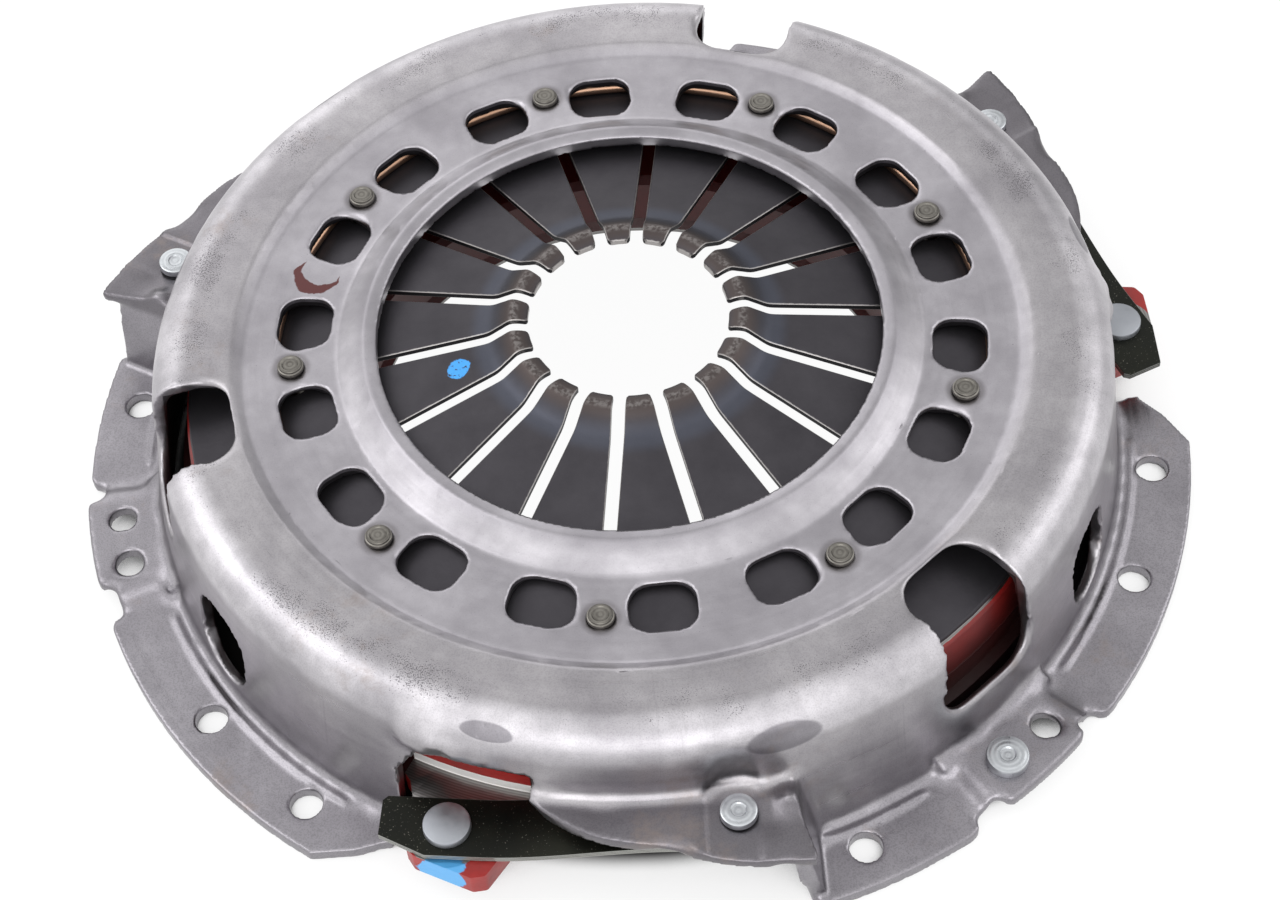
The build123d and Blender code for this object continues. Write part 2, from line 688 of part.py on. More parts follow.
lug_rivet = turned([
    (0, LUG_BOTTOM_Z + 0.4),
    (TAIL_R - 0.6, LUG_BOTTOM_Z + 0.4),
    (TAIL_R, LUG_BOTTOM_Z + 1.0),
    (TAIL_R, LUG_BOTTOM_Z + 0.4 + TAIL_H),
    (STRAP_HOLE_R - RIVET_FIT, LUG_BOTTOM_Z + 0.4 + TAIL_H),
    (STRAP_HOLE_R - RIVET_FIT, LUG_TOP_Z + LEAVES * LEAF_T),
    (LUG_HEAD_R, LUG_TOP_Z + LEAVES * LEAF_T),
    (LUG_HEAD_R, LUG_TOP_Z + LEAVES * LEAF_T + LUG_HEAD_H - 0.5),
    (LUG_HEAD_R - 0.5, LUG_TOP_Z + LEAVES * LEAF_T + LUG_HEAD_H),
    (0, LUG_TOP_Z + LEAVES * LEAF_T + LUG_HEAD_H),
])
pack_low = FLAP_Z - LEAVES * LEAF_T
flap_top = FLAP_Z + SHEET
cover_rivet = turned([
    (0, pack_low - 2.6),
    (5.4, pack_low - 2.6),
    (6.0, pack_low - 2.0),
    (6.0, pack_low),
    (STRAP_HOLE_COVER_R - RIVET_FIT, pack_low),
    (STRAP_HOLE_COVER_R - RIVET_FIT, flap_top),
    (COVER_HEAD_R, flap_top),
    (COVER_HEAD_R, flap_top + COVER_HEAD_H - 0.6),
    (COVER_HEAD_R - 0.6, flap_top + COVER_HEAD_H),
    (2.4, flap_top + COVER_HEAD_H),
    (2.1, flap_top + COVER_HEAD_H - 0.4),
    (0, flap_top + COVER_HEAD_H - 0.4),
])
tab_top = TAB_Z + SHEET
balance_head = turned([
    (0, TAB_Z - 2.2),
    (5.9, TAB_Z - 2.2),
    (6.4, TAB_Z - 1.7),
    (6.4, TAB_Z),
    (TAB_HOLE_R - RIVET_FIT, TAB_Z),
    (TAB_HOLE_R - RIVET_FIT, tab_top),
    (BALANCE_R, tab_top),
    (BALANCE_R, tab_top + BALANCE_H - 0.7),
    (BALANCE_R - 0.7, tab_top + BALANCE_H),
    (2.6, tab_top + BALANCE_H),
    (2.2, tab_top + BALANCE_H - 0.5),
    (0, tab_top + BALANCE_H - 0.5),
])

with BuildPart() as balance_rivet:
    with PolarLocations(TAB_PITCH_R, 1, start_angle=BALANCE_ANGLE):
        add(balance_head)

# ---------------------------------------------------------------- export
os.makedirs("parts", exist_ok=True)

cover.part.label = "cover"
diaphragm_spring.part.label = "diaphragm_spring"
fulcrum_ring_upper.part.label = "fulcrum_ring_upper"
fulcrum_ring_lower.part.label = "fulcrum_ring_lower"
fulcrum_rivets.part.label = "fulcrum_rivets"
pressure_plate.part.label = "pressure_plate"
balance_rivet.part.label = "balance_rivet"

export_step(cover.part, "parts/cover.step")
export_step(diaphragm_spring.part, "parts/diaphragm_spring.step")
export_step(fulcrum_ring_upper.part, "parts/fulcrum_ring_upper.step")
export_step(fulcrum_ring_lower.part, "parts/fulcrum_ring_lower.step")
export_step(fulcrum_rivets.part, "parts/fulcrum_rivets.step")
export_step(pressure_plate.part, "parts/pressure_plate.step")
export_step(balance_rivet.part, "parts/balance_rivet.step")

for k in range(SECTORS):
    for j in range(LEAVES):
        with BuildPart() as leaf_part:
            add(strap_leaf(k, j))
        leaf_part.part.label = f"strap_{k + 1}_leaf_{j + 1}"
        export_step(leaf_part.part, f"parts/strap_{k + 1}_leaf_{j + 1}.step")
    with BuildPart() as strap_lug_rivet:
        with PolarLocations(STRAP_LUG[0], 1, start_angle=STRAP_LUG[1] + 360 / SECTORS * k):
            add(lug_rivet)
    strap_lug_rivet.part.label = f"strap_lug_rivet_{k + 1}"
    export_step(strap_lug_rivet.part, f"parts/strap_lug_rivet_{k + 1}.step")
    with BuildPart() as strap_cover_rivet:
        with PolarLocations(STRAP_COVER[0], 1, start_angle=STRAP_COVER[1] + 360 / SECTORS * k):
            add(cover_rivet)
    strap_cover_rivet.part.label = f"strap_cover_rivet_{k + 1}"
    export_step(strap_cover_rivet.part, f"parts/strap_cover_rivet_{k + 1}.step")
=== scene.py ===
import logging
import math
from dataclasses import dataclass, field
from enum import Enum
from functools import cached_property
from typing import Any, Sequence

import bmesh
import bpy
import numpy as np
from mathutils import Matrix, Vector
from mathutils.bvhtree import BVHTree
from mathutils.kdtree import KDTree


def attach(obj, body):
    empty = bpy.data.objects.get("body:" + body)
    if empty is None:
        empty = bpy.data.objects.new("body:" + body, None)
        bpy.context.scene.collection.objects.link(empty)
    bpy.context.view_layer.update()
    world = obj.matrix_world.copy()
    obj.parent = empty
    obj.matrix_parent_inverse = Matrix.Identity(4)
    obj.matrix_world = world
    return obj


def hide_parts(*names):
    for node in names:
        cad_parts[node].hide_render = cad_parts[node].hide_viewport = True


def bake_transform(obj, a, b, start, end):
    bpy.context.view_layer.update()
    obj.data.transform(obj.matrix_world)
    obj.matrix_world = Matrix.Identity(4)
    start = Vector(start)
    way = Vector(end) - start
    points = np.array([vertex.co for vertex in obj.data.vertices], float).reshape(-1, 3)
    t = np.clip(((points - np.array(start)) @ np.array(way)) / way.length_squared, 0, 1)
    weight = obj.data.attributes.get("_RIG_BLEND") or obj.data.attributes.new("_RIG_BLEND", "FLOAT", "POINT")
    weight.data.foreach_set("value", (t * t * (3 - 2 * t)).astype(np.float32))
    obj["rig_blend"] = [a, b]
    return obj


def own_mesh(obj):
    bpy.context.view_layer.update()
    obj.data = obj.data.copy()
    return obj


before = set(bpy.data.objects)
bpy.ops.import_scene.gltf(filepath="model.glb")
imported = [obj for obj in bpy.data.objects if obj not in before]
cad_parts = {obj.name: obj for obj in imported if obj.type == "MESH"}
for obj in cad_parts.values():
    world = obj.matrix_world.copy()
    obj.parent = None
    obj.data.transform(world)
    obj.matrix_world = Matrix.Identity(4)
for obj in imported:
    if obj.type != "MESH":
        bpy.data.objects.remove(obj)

Span = tuple[float, float]
Fade = tuple[float, float, float]
Point = tuple[float, float, float]
Zone = tuple[Span, Span]
Socket = bpy.types.NodeSocket

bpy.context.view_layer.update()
LOG = logging.getLogger("clutch")
MM = 0.001
SECTORS = 3
# circles in millimetres and directions in degrees of the rivets, in the first sector
RIVETS, RIVET_CIRCLE, FIRST_RIVET = 9, 112.0, 102.3
LUG_CIRCLE, LUG_ANGLE = 170.6, 246.99
FLAP_CIRCLE, FLAP_ANGLE = 170.2, 277.49
BALANCE_CIRCLE, BALANCE_ANGLE = 178.1, 307.5


class Side(Enum):
    """The rigid bodies that pieces ride on."""

    COVER = "cover"
    PLATE = "pressure_plate"


class Kind(Enum):
    """Kinds of node: type, settings, inputs in the order that Sheet.put takes them, and output."""

    ADD = ("ShaderNodeMath", {"operation": "ADD"}, (0, 1), 0)
    SUBTRACT = ("ShaderNodeMath", {"operation": "SUBTRACT"}, (0, 1), 0)
    MULTIPLY = ("ShaderNodeMath", {"operation": "MULTIPLY"}, (0, 1), 0)
    MULTIPLY_ADD = ("ShaderNodeMath", {"operation": "MULTIPLY_ADD"}, (0, 1, 2), 0)
    MODULO = ("ShaderNodeMath", {"operation": "MODULO"}, (0, 1), 0)
    POWER = ("ShaderNodeMath", {"operation": "POWER"}, (0, 1), 0)
    MAXIMUM = ("ShaderNodeMath", {"operation": "MAXIMUM"}, (0, 1), 0)
    ABSOLUTE = ("ShaderNodeMath", {"operation": "ABSOLUTE"}, (0,), 0)
    SINE = ("ShaderNodeMath", {"operation": "SINE"}, (0,), 0)
    COSINE = ("ShaderNodeMath", {"operation": "COSINE"}, (0,), 0)
    ARCTAN2 = ("ShaderNodeMath", {"operation": "ARCTAN2"}, (0, 1), 0)
    LESS = ("ShaderNodeMath", {"operation": "LESS_THAN"}, (0, 1), 0)
    MORE = ("ShaderNodeMath", {"operation": "GREATER_THAN"}, (0, 1), 0)
    EQUAL = ("ShaderNodeMath", {"operation": "COMPARE"}, (0, 1, 2), 0)
    LENGTH = ("ShaderNodeVectorMath", {"operation": "LENGTH"}, (0,), "Value")
    DISTANCE = ("ShaderNodeVectorMath", {"operation": "DISTANCE"}, (0, 1), "Value")
    DOT = ("ShaderNodeVectorMath", {"operation": "DOT_PRODUCT"}, (0, 1), "Value")
    JOIN = ("ShaderNodeCombineXYZ", {}, (0, 1, 2), 0)
    STRETCH = ("ShaderNodeMapping", {}, ("Vector", "Scale"), 0)
    RANGE = ("ShaderNodeMapRange", {}, ("Value", "From Min", "From Max", "To Min", "To Max"), 0)
    FADE = ("ShaderNodeMapRange", {"interpolation_type": "SMOOTHSTEP"},
            ("Value", "From Min", "From Max", "To Max"), 0)
    MIX = ("ShaderNodeMix", {"data_type": "RGBA"}, (0, 6, 7), 2)
    NOISE = ("ShaderNodeTexNoise", {}, ("Vector", "Scale", "Detail", "Roughness"), 0)
    BUMP = ("ShaderNodeBump", {}, ("Height", "Strength", "Distance"), 0)
    ATTRIBUTE = ("ShaderNodeAttribute", {"attribute_type": "GEOMETRY"}, (), "Fac")
    SHADOWED = ("ShaderNodeAmbientOcclusion", {"samples": 16}, ("Distance",), "AO")
    PAPER = ("ShaderNodeBsdfDiffuse", {}, ("Color",), 0)
    GLOW = ("ShaderNodeEmission", {}, ("Color", "Strength"), 0)
    BLEND = ("ShaderNodeMixShader", {}, (0, 1, 2), 0)
    SKY = ("ShaderNodeBackground", {}, ("Color", "Strength"), 0)
    SURFACE = ("ShaderNodeBsdfPrincipled", {}, ("Base Color", "Roughness", "Normal", "Metallic"), 0)


# ----------------------------------------------------------------- nodes
def linear(code: str) -> tuple[float, float, float, float]:
    """Turns an sRGB hex colour into linear red, green, blue and an alpha of 1.

    Args:
        code: six hex digits.

    Returns:
        The linear colour.
    """
    out = []
    for i in (0, 2, 4):
        c = int(code[i:i + 2], 16) / 255
        out.append(c / 12.92 if c <= 0.04045 else ((c + 0.055) / 1.055) ** 2.4)
    return (*out, 1.0)


def add(tree: bpy.types.NodeTree, kind: str, inputs: dict[Any, Any] | None = None,
        **settings: Any) -> bpy.types.Node:
    """Adds one node with its settings, socket values and links.

    Args:
        tree: node tree to add to.
        kind: Blender's node type name.
        inputs: socket name or number to a value or to another node's output socket.
        settings: attributes of the node.

    Returns:
        The new node.
    """
    made = tree.nodes.new(kind)
    for key, value in settings.items():
        setattr(made, key, value)
    for key, value in (inputs or {}).items():
        if isinstance(value, Socket):
            tree.links.new(value, made.inputs[key])
        else:
            made.inputs[key].default_value = value
    return made


@dataclass(frozen=True)
class Grain:
    """A noise pattern: the size of its clouds in millimetres, its detail and its roughness."""

    size: float
    detail: float = 2.0
    rough: float = 0.5

    def over(self, where: Socket) -> tuple[Socket, float, float, float]:
        """The noise node's inputs, over coordinates in metres."""
        return where, 1 / (self.size * MM), self.detail, self.rough


class Sheet:
    """The node tree of one material or world, with the coordinates that its patterns follow."""

    def __init__(self, owner: bpy.types.Material | bpy.types.World, coordinates: str = "Object") -> None:
        """Starts an empty tree.

        Args:
            owner: the material or the world.
            coordinates: the output of Texture Coordinate to follow.
        """
        owner.use_nodes = True
        self.owner = owner
        self.tree = owner.node_tree
        self.tree.nodes.clear()
        self.where = add(self.tree, "ShaderNodeTexCoord").outputs[coordinates]
        self.x, self.y, self.z = add(self.tree, "ShaderNodeSeparateXYZ", {0: self.where}).outputs

    def put(self, kind: Kind, *values: Any, **settings: Any) -> Socket:
        """Adds one node of the kinds listed above.

        Args:
            kind: which one.
            values: numbers, colours or sockets, in the order of the kind's inputs.
            settings: further attributes of the node.

        Returns:
            The node's output.
        """
        node, fixed, inputs, output = kind.value
        return add(self.tree, node, dict(zip(inputs, values)), **fixed, **settings).outputs[output]

    @cached_property
    def radius(self) -> Socket:
        """Distance from the shaft axis, metres."""
        return self.put(Kind.LENGTH, self.put(Kind.JOIN, self.x, self.y))

    @cached_property
    def around(self) -> Socket:
        """Direction about the shaft axis, radians."""
        return self.put(Kind.ARCTAN2, self.y, self.x)

    def zone(self, out: Span, up: Span) -> Socket:
        """A zone with soft borders.

        Args:
            out: radii in metres at which it starts and is full.
            up: heights in metres at which it starts and is full.

        Returns:
            A socket between 0 and 1.
        """
        put = self.put
        return put(Kind.MULTIPLY, put(Kind.FADE, self.radius, *out), put(Kind.FADE, self.z, *up))

    def off_nearest(self, middle: float, copies: int) -> Socket:
        """Signed angle from the nearest of some equally spaced directions.

        Args:
            middle: one of the directions, degrees.
            copies: number of directions.

        Returns:
            The angle in radians.
        """
        wedge = math.tau / copies
        shifted = self.put(Kind.ADD, self.around, wedge / 2 - math.radians(middle) + 2 * math.tau)
        return self.put(Kind.SUBTRACT, self.put(Kind.MODULO, shifted, wedge), wedge / 2)

    def rivet_distance(self, circle: float, middle: float, copies: int) -> Socket:
        """Distance in plan from the nearest of some equally spaced rivets.

        Args:
            circle: radius of their circle, millimetres.
            middle: direction of one of them, degrees.
            copies: number of rivets.

        Returns:
            The distance in metres.
        """
        put = self.put
        turn = self.off_nearest(middle, copies)
        along = put(Kind.MULTIPLY_ADD, put(Kind.COSINE, turn), self.radius, -circle * MM)
        across = put(Kind.MULTIPLY, put(Kind.SINE, turn), self.radius)
        return put(Kind.LENGTH, put(Kind.JOIN, along, across))

    def finish(self, colour: Socket, rough: Socket, normal: Socket,
               metallic: Socket | float) -> bpy.types.Material:
        """Ends a finish in the surface shader.

        Args:
            colour: base colour.
            rough: roughness.
            normal: normal.
            metallic: metallic value.

        Returns:
            The material.
        """
        return self.end(self.put(Kind.SURFACE, colour, rough, normal, metallic))

    def end(self, surface: Socket, output: str = "ShaderNodeOutputMaterial") -> Any:
        """Leads a shader to the output.

        Args:
            surface: the shader.
            output: Blender's type name of the output node.

        Returns:
            The owner of the tree.
        """
        add(self.tree, output, {"Surface": surface})
        return self.owner


# ----------------------------------------------------------------- meshes
def shade_by_angle(bm: bmesh.types.BMesh, degrees: float) -> None:
    """Shades a mesh smooth except at its sharp and its open edges.

    Args:
        bm: the mesh.
        degrees: smallest angle of a sharp edge.
    """
    for face in bm.faces:
        face.smooth = True
    for edge in bm.edges:
        edge.smooth = len(edge.link_faces) == 2 and edge.calc_face_angle(0) < math.radians(degrees)


def plain_mesh(bm: bmesh.types.BMesh, name: str) -> bpy.types.Mesh:
    """Turns a working mesh into a stored one.

    Args:
        bm: the working mesh, which is freed.
        name: name of the mesh.

    Returns:
        The mesh.
    """
    mesh = bpy.data.meshes.new(name)
    bm.to_mesh(mesh)
    bm.free()
    return mesh


def new_object(name: str, mesh: bpy.types.Mesh) -> bpy.types.Object:
    """Puts a mesh into the scene as an object at the origin.

    Args:
        name: the piece's name.
        mesh: its mesh.

    Returns:
        The object.
    """
    thing = bpy.data.objects.new(name, mesh)
    bpy.context.scene.collection.objects.link(thing)
    return thing


def merged_copy(node: str, name: str) -> bpy.types.Object:
    """Copies a CAD node's mesh, merges its loose triangles and shades it by angle.

    Args:
        node: name of the CAD node.
        name: name of the new piece.

    Returns:
        The new object.
    """
    bm = bmesh.new()
    bm.from_mesh(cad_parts[node].data)
    bmesh.ops.remove_doubles(bm, verts=bm.verts, dist=0.004 * MM)
    shade_by_angle(bm, 28)
    mesh = plain_mesh(bm, name)
    stored = mesh.attributes.get("custom_normal")
    if stored is not None:
        mesh.attributes.remove(stored)
    return new_object(name, mesh)


def settled(thing: bpy.types.Object) -> bpy.types.Object:
    """Applies every modifier of an object to its mesh.

    Args:
        thing: object with modifiers.

    Returns:
        The same object with a plain mesh and no modifier.
    """
    bpy.context.view_layer.update()
    seen = thing.evaluated_get(bpy.context.evaluated_depsgraph_get())
    mesh = bpy.data.meshes.new_from_object(seen)
    thing.modifiers.clear()
    thing.data = mesh
    return thing


def turned_mesh(name: str, profile: Sequence[Span], segments: int) -> bpy.types.Mesh:
    """Spins a profile round Z and stores each point's radius as the attribute turn_mm.

    Args:
        name: mesh name.
        profile: (radius, height) points in millimetres, from the lower axis point up and round
            to the upper one.
        segments: number of steps round the axis.

    Returns:
        The mesh, with faces pointing outwards.
    """
    bm = bmesh.new()
    layer = bm.verts.layers.float.new("turn_mm")
    rings: list[list[bmesh.types.BMVert]] = []
    for radius, height in profile:
        ring = []
        for i in range(segments if radius else 1):
            v = bm.verts.new(Vector((*polar(radius, 360 * i / segments), height)) * MM)
            v[layer] = radius
            ring.append(v)
        rings.append(ring)
    for low, high in zip(rings, rings[1:]):
        for i in range(segments):
            j = (i + 1) % segments
            corners = [low[i % len(low)], low[j % len(low)], high[j % len(high)], high[i % len(high)]]
            unique = list(dict.fromkeys(corners))
            if len(unique) > 2:
                bm.faces.new(unique)
    bmesh.ops.recalc_face_normals(bm, faces=bm.faces)
    shade_by_angle(bm, 32)
    return plain_mesh(bm, name)


def polar_pattern(name: str, mesh: bpy.types.Mesh, material: bpy.types.Material, radius: float, count: int,
                  start: float) -> bpy.types.Object:
    """Repeats a mesh round the Z axis with Geometry Nodes and returns the plain result.

    Args:
        name: name of the finished piece.
        mesh: the repeated mesh.
        material: its material.
        radius: radius of the circle in metres.
        count: number of copies.
        start: angle of the first copy in degrees.

    Returns:
        An object with one plain mesh.
    """
    tree = bpy.data.node_groups.new(f"{name}_pattern", "GeometryNodeTree")
    face = tree.interface
    face.new_socket("Geometry", in_out="INPUT", socket_type="NodeSocketGeometry")
    sizes = {
        "Radius": ("NodeSocketFloat", radius),
        "Count": ("NodeSocketInt", count),
        "Start": ("NodeSocketFloat", math.radians(start)),
        "Merge": ("NodeSocketFloat", 0.02 * MM),
    }
    sockets = {}
    for label, (kind, value) in sizes.items():
        sockets[label] = face.new_socket(label, in_out="INPUT", socket_type=kind)
        sockets[label].default_value = value
    face.new_socket("Geometry", in_out="OUTPUT", socket_type="NodeSocketGeometry")
    given = add(tree, "NodeGroupInput").outputs
    index = add(tree, "GeometryNodeInputIndex").outputs[0]
    step = add(tree, "ShaderNodeMath", {0: math.tau, 1: given["Count"]}, operation="DIVIDE").outputs[0]
    turn = add(tree, "ShaderNodeMath", {0: index, 1: step, 2: given["Start"]}, operation="MULTIPLY_ADD")
    out = add(tree, "ShaderNodeCombineXYZ", {"X": given["Radius"]}).outputs[0]
    spin = add(tree, "ShaderNodeCombineXYZ", {"Z": turn.outputs[0]}).outputs[0]
    place = add(tree, "ShaderNodeVectorRotate", {"Vector": out, "Rotation": spin}, rotation_type="EULER_XYZ")
    stages = (
        ("GeometryNodePoints", {"Count": given["Count"]}, ""),
        ("GeometryNodeSetPosition", {"Position": place.outputs[0]}, "Geometry"),
        ("GeometryNodeInstanceOnPoints", {"Instance": given["Geometry"], "Rotation": spin}, "Points"),
        ("GeometryNodeRealizeInstances", {}, "Geometry"),
        ("GeometryNodeMergeByDistance", {"Distance": given["Merge"]}, "Geometry"),
        ("GeometryNodeSetMaterial", {"Material": material}, "Geometry"),
        ("NodeGroupOutput", {}, "Geometry"),
    )
    made: bpy.types.Node | None = None
    for kind, inputs, follows in stages:
        made = add(tree, kind, {**inputs, **({follows: made.outputs[0]} if made else {})})
    thing = new_object(name, mesh)
    modifier = thing.modifiers.new("pattern", "NODES")
    modifier.node_group = tree
    for label, (_, value) in sizes.items():
        modifier[sockets[label].identifier] = value
    return settled(thing)


def polar(radius: float, angle: float) -> Span:
    """Point of the plan view, in the unit of the radius, from an angle in degrees."""
    return radius * math.cos(math.radians(angle)), radius * math.sin(math.radians(angle))


def stand_for(piece: bpy.types.Object, slot: str, *nodes: str) -> bpy.types.Object:
    """Hides the CAD nodes that a finished piece replaces and logs how many vertices it has.

    Args:
        piece: the finished piece.
        slot: not used.
        nodes: the CAD nodes that it replaces.

    Returns:
        The piece.
    """
    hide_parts(*nodes)
    LOG.info("%s: %d vertices", piece.name, len(piece.data.vertices))
    return piece


# ----------------------------------------------------------------- finishes
# In every finish, relief is the bump's strength and depth in metres, rough is the roughness at a
# share of 0 and of 1, and metallic, where it is a pair, is its change with a share and its value without.
@dataclass(frozen=True)
class PressedSteel:
    """Bare cold-rolled sheet, deep drawn in a press.

    The flat ring keeps the dull skin of the strip; the drawn shoulder and skirt are brighter from the die's
    burnish, the shoulder and the lip's foot also from a painted highlight, and carry galled grains, drag
    marks and stains. Painted shade darkens the cover's inner faces, a painted shadow rings each fulcrum rivet
    and dark flats beside the flaps are painted reflections. Places are in metres.
    """

    ring_tone: str = "A8A5AA"
    drawn_tone: str = "AAA7AA"
    flange_tone: str = "98959A"
    flap_tone: str = "6F6C70"
    # burnish tone, also a painted highlight
    burnish_and_highlight_tone: str = "CFCCD0"
    deep: str = "7A777C"
    speck: str = "4E4B50"
    stain: str = "8C7F78"
    # painted shade of the cover's inner faces
    inner_shade_tone: str = "3B393A"
    # painted reflection of the flats beside the flaps
    flat_reflection_tone: str = "56535A"
    # painted shadow round the fulcrum rivets
    rivet_shadow_tone: str = "5F5B5C"
    brush_tone: str = "471413"
    drawn_edge: Span = (0.128, 0.134)
    rim_zone: Zone = ((0.163, 0.167), (0.041, 0.039))
    flap_rise: Span = (0.030, 0.034)
    shoulder_zone: Zone = ((0.1450, 0.1500), (0.0500, 0.0545))
    lip_zone: Zone = ((0.0990, 0.0945), (0.0590, 0.0602))
    lip_end: Span = (0.0672, 0.0640)
    galled_band: Zone = ((0.136, 0.143), (0.157, 0.148))
    draft: float = 0.1186
    inner_wall: Fade = (0.1619, 0.1614, 0.9)
    roof: Span = (0.0593, 0.0588)
    rivet_shadow: Fade = (0.0074, 0.0052, 0.55)
    flats: tuple[tuple[float, float, float, float], ...] = ((250.9, 59.5, 8.6, 2.4), (283.6, 54.5, 12.0, 5.5))
    flat_circle: float = 157.0
    flat_edge: Span = (0.153, 0.1545)
    flat_reach: Fade = (1.1, 0.8, 0.6)
    brush: tuple[Point, Point] = ((-0.1040, 0.0345, 0.061), (-0.1020, 0.0374, 0.061))
    brush_disc: Span = (0.0096, 0.0092)
    brush_hollow: Span = (0.0082, 0.0086)
    ragged: float = 0.003
    # noise levels at which each pattern starts and is full, and its share
    blotch_in: tuple[float, float, float, float] = (0.62, 0.36, 0.0, 0.45)
    cloud_in: tuple[float, float, float, float] = (0.62, 0.38, 0.0, 0.16)
    galled_in: tuple[float, float, float, float] = (0.0, 0.07, 0.0, 0.75)
    patch_in: Span = (0.40, 0.66)
    peel_in: Span = (0.46, 0.62)
    stain_in: Fade = (0.57, 0.72, 0.5)
    drag_in: Fade = (0.60, 0.72, 0.22)
    rough_in: tuple[float, float, float, float] = (0.3, 0.7, 0.30, 0.42)
    blotches: Grain = Grain(30.3, 3.0, 0.55)
    clouds: Grain = Grain(5.0, 4.0, 0.6)
    grains: Grain = Grain(0.435, 2.0, 0.6)
    patches: Grain = Grain(23.8, 5.0, 0.7)
    peel: Grain = Grain(0.476, 2.0, 0.55)
    stains: Grain = Grain(52.6, 6.0, 0.75)
    fine: Grain = Grain(0.667, 3.0, 0.6)
    turning: Point = (500.0, 2.0, 260.0)
    turning_noise: tuple[float, float, float] = (1.0, 4.0, 0.6)
    drag: Point = (30.0, 95.0, 14.0)
    drag_noise: tuple[float, float, float] = (1.0, 5.0, 0.65)
    # shares, and how far they change with what stands beside them in build
    lip_share: float = 0.45
    shoulder_share: float = 0.85
    peel_on_rim: float = 0.12
    peel_on_wall: Span = (0.09, 0.05)
    galled_limit: Span = (-0.2, 0.70)
    rough_changes: tuple[float, float, float] = (-0.03, 0.08, 0.3)
    cloud_height: float = 0.8
    fine_height: float = 0.35
    metallic: Span = (-0.9, 1.0)
    relief: Span = (0.5, 0.00006)

    def build(self) -> bpy.types.Material:
        """Makes the material.

        Returns:
            The material.
        """
        sheet = Sheet(bpy.data.materials.new("pressed_steel"))
        put = sheet.put
        # clouds of 30 mm and of 5 mm, as rolling and drawing oil leave them
        blotch = put(Kind.NOISE, *self.blotches.over(sheet.where))
        cloud = put(Kind.NOISE, *self.clouds.over(sheet.where))
        drawn = put(Kind.FADE, sheet.radius, *self.drawn_edge)
        rim = sheet.zone(*self.rim_zone)
        rubbed = self.rubbed(sheet)
        galled = self.galled(sheet)
        stroke = self.brush_stroke(sheet, cloud)
        # orange peel of 0.5 mm that the drawing leaves, strongest where the sheet was stretched
        peel = put(Kind.FADE, put(Kind.NOISE, *self.peel.over(sheet.where)), *self.peel_in)
        stretched = put(Kind.MULTIPLY_ADD, drawn, *self.peel_on_wall)
        stretched = put(Kind.MULTIPLY_ADD, rim, self.peel_on_rim, stretched)
        # brown stains of handling on the skirt and the flange
        handled = put(Kind.FADE, put(Kind.NOISE, *self.stains.over(sheet.where)), *self.stain_in)
        # painted shadow: a darker ring round each fulcrum rivet
        rivet_shadow = put(Kind.FADE, sheet.rivet_distance(RIVET_CIRCLE, FIRST_RIVET, RIVETS), *self.rivet_shadow)
        # drag marks run down the drawn wall, and round the ring
        spun = put(Kind.JOIN, sheet.radius, sheet.around, sheet.z)
        turning = put(Kind.NOISE, put(Kind.STRETCH, spun, self.turning), *self.turning_noise)
        drag = put(Kind.NOISE, put(Kind.STRETCH, spun, self.drag), *self.drag_noise)
        wall = put(Kind.SUBTRACT, drawn, rim)
        layers = [
            (drawn, self.drawn_tone),
            (rim, self.flange_tone),
            (put(Kind.MULTIPLY, rim, put(Kind.FADE, sheet.z, *self.flap_rise)), self.flap_tone),
            # burnish with a painted highlight on the shoulder and the lip's foot
            (rubbed, self.burnish_and_highlight_tone),
            (put(Kind.RANGE, blotch, *self.blotch_in), self.deep),
            (put(Kind.RANGE, cloud, *self.cloud_in), self.deep),
            (galled, self.speck),
            (put(Kind.MULTIPLY, stretched, peel), self.speck),
            # painted reflections: dark flats beside each flap
            *((self.painted_flat_reflection(sheet, *flat), self.flat_reflection_tone) for flat in self.flats),
            # painted shade on the cover's inner faces
            (self.painted_inner_shade(sheet), self.inner_shade_tone),
            (stroke, self.brush_tone),
            (put(Kind.MULTIPLY, handled, drawn), self.stain),
            # painted shadow round the fulcrum rivets
            (rivet_shadow, self.rivet_shadow_tone),
            (put(Kind.MULTIPLY, put(Kind.FADE, drag, *self.drag_in), wall), self.deep),
        ]
        skin = linear(self.ring_tone)
        for share, tone in layers:
            skin = put(Kind.MIX, share, skin, linear(tone))
        rough = put(Kind.RANGE, turning, *self.rough_in)
        for share, change in zip((drawn, rubbed, galled), self.rough_changes):
            rough = put(Kind.MULTIPLY_ADD, share, change, rough)
        fine = put(Kind.NOISE, *self.fine.over(sheet.where))
        height = put(Kind.MULTIPLY_ADD, fine, self.fine_height, turning)
        height = put(Kind.MULTIPLY_ADD, cloud, self.cloud_height, height)
        bump = put(Kind.BUMP, height, *self.relief)
        return sheet.finish(skin, rough, bump, put(Kind.MULTIPLY_ADD, stroke, *self.metallic))

    def rubbed(self, sheet: Sheet) -> Socket:
        """Where the die radius burnishes the shoulder and the foot of the lip, painted brighter all round as
        a highlight too.

        Args:
            sheet: the finish being written.

        Returns:
            The share of burnish and painted highlight.
        """
        put = sheet.put
        lip = put(Kind.MULTIPLY, sheet.zone(*self.lip_zone), put(Kind.FADE, sheet.z, *self.lip_end))
        shoulder = put(Kind.MULTIPLY, sheet.zone(*self.shoulder_zone), self.shoulder_share)
        return put(Kind.MAXIMUM, shoulder, put(Kind.MULTIPLY, lip, self.lip_share))

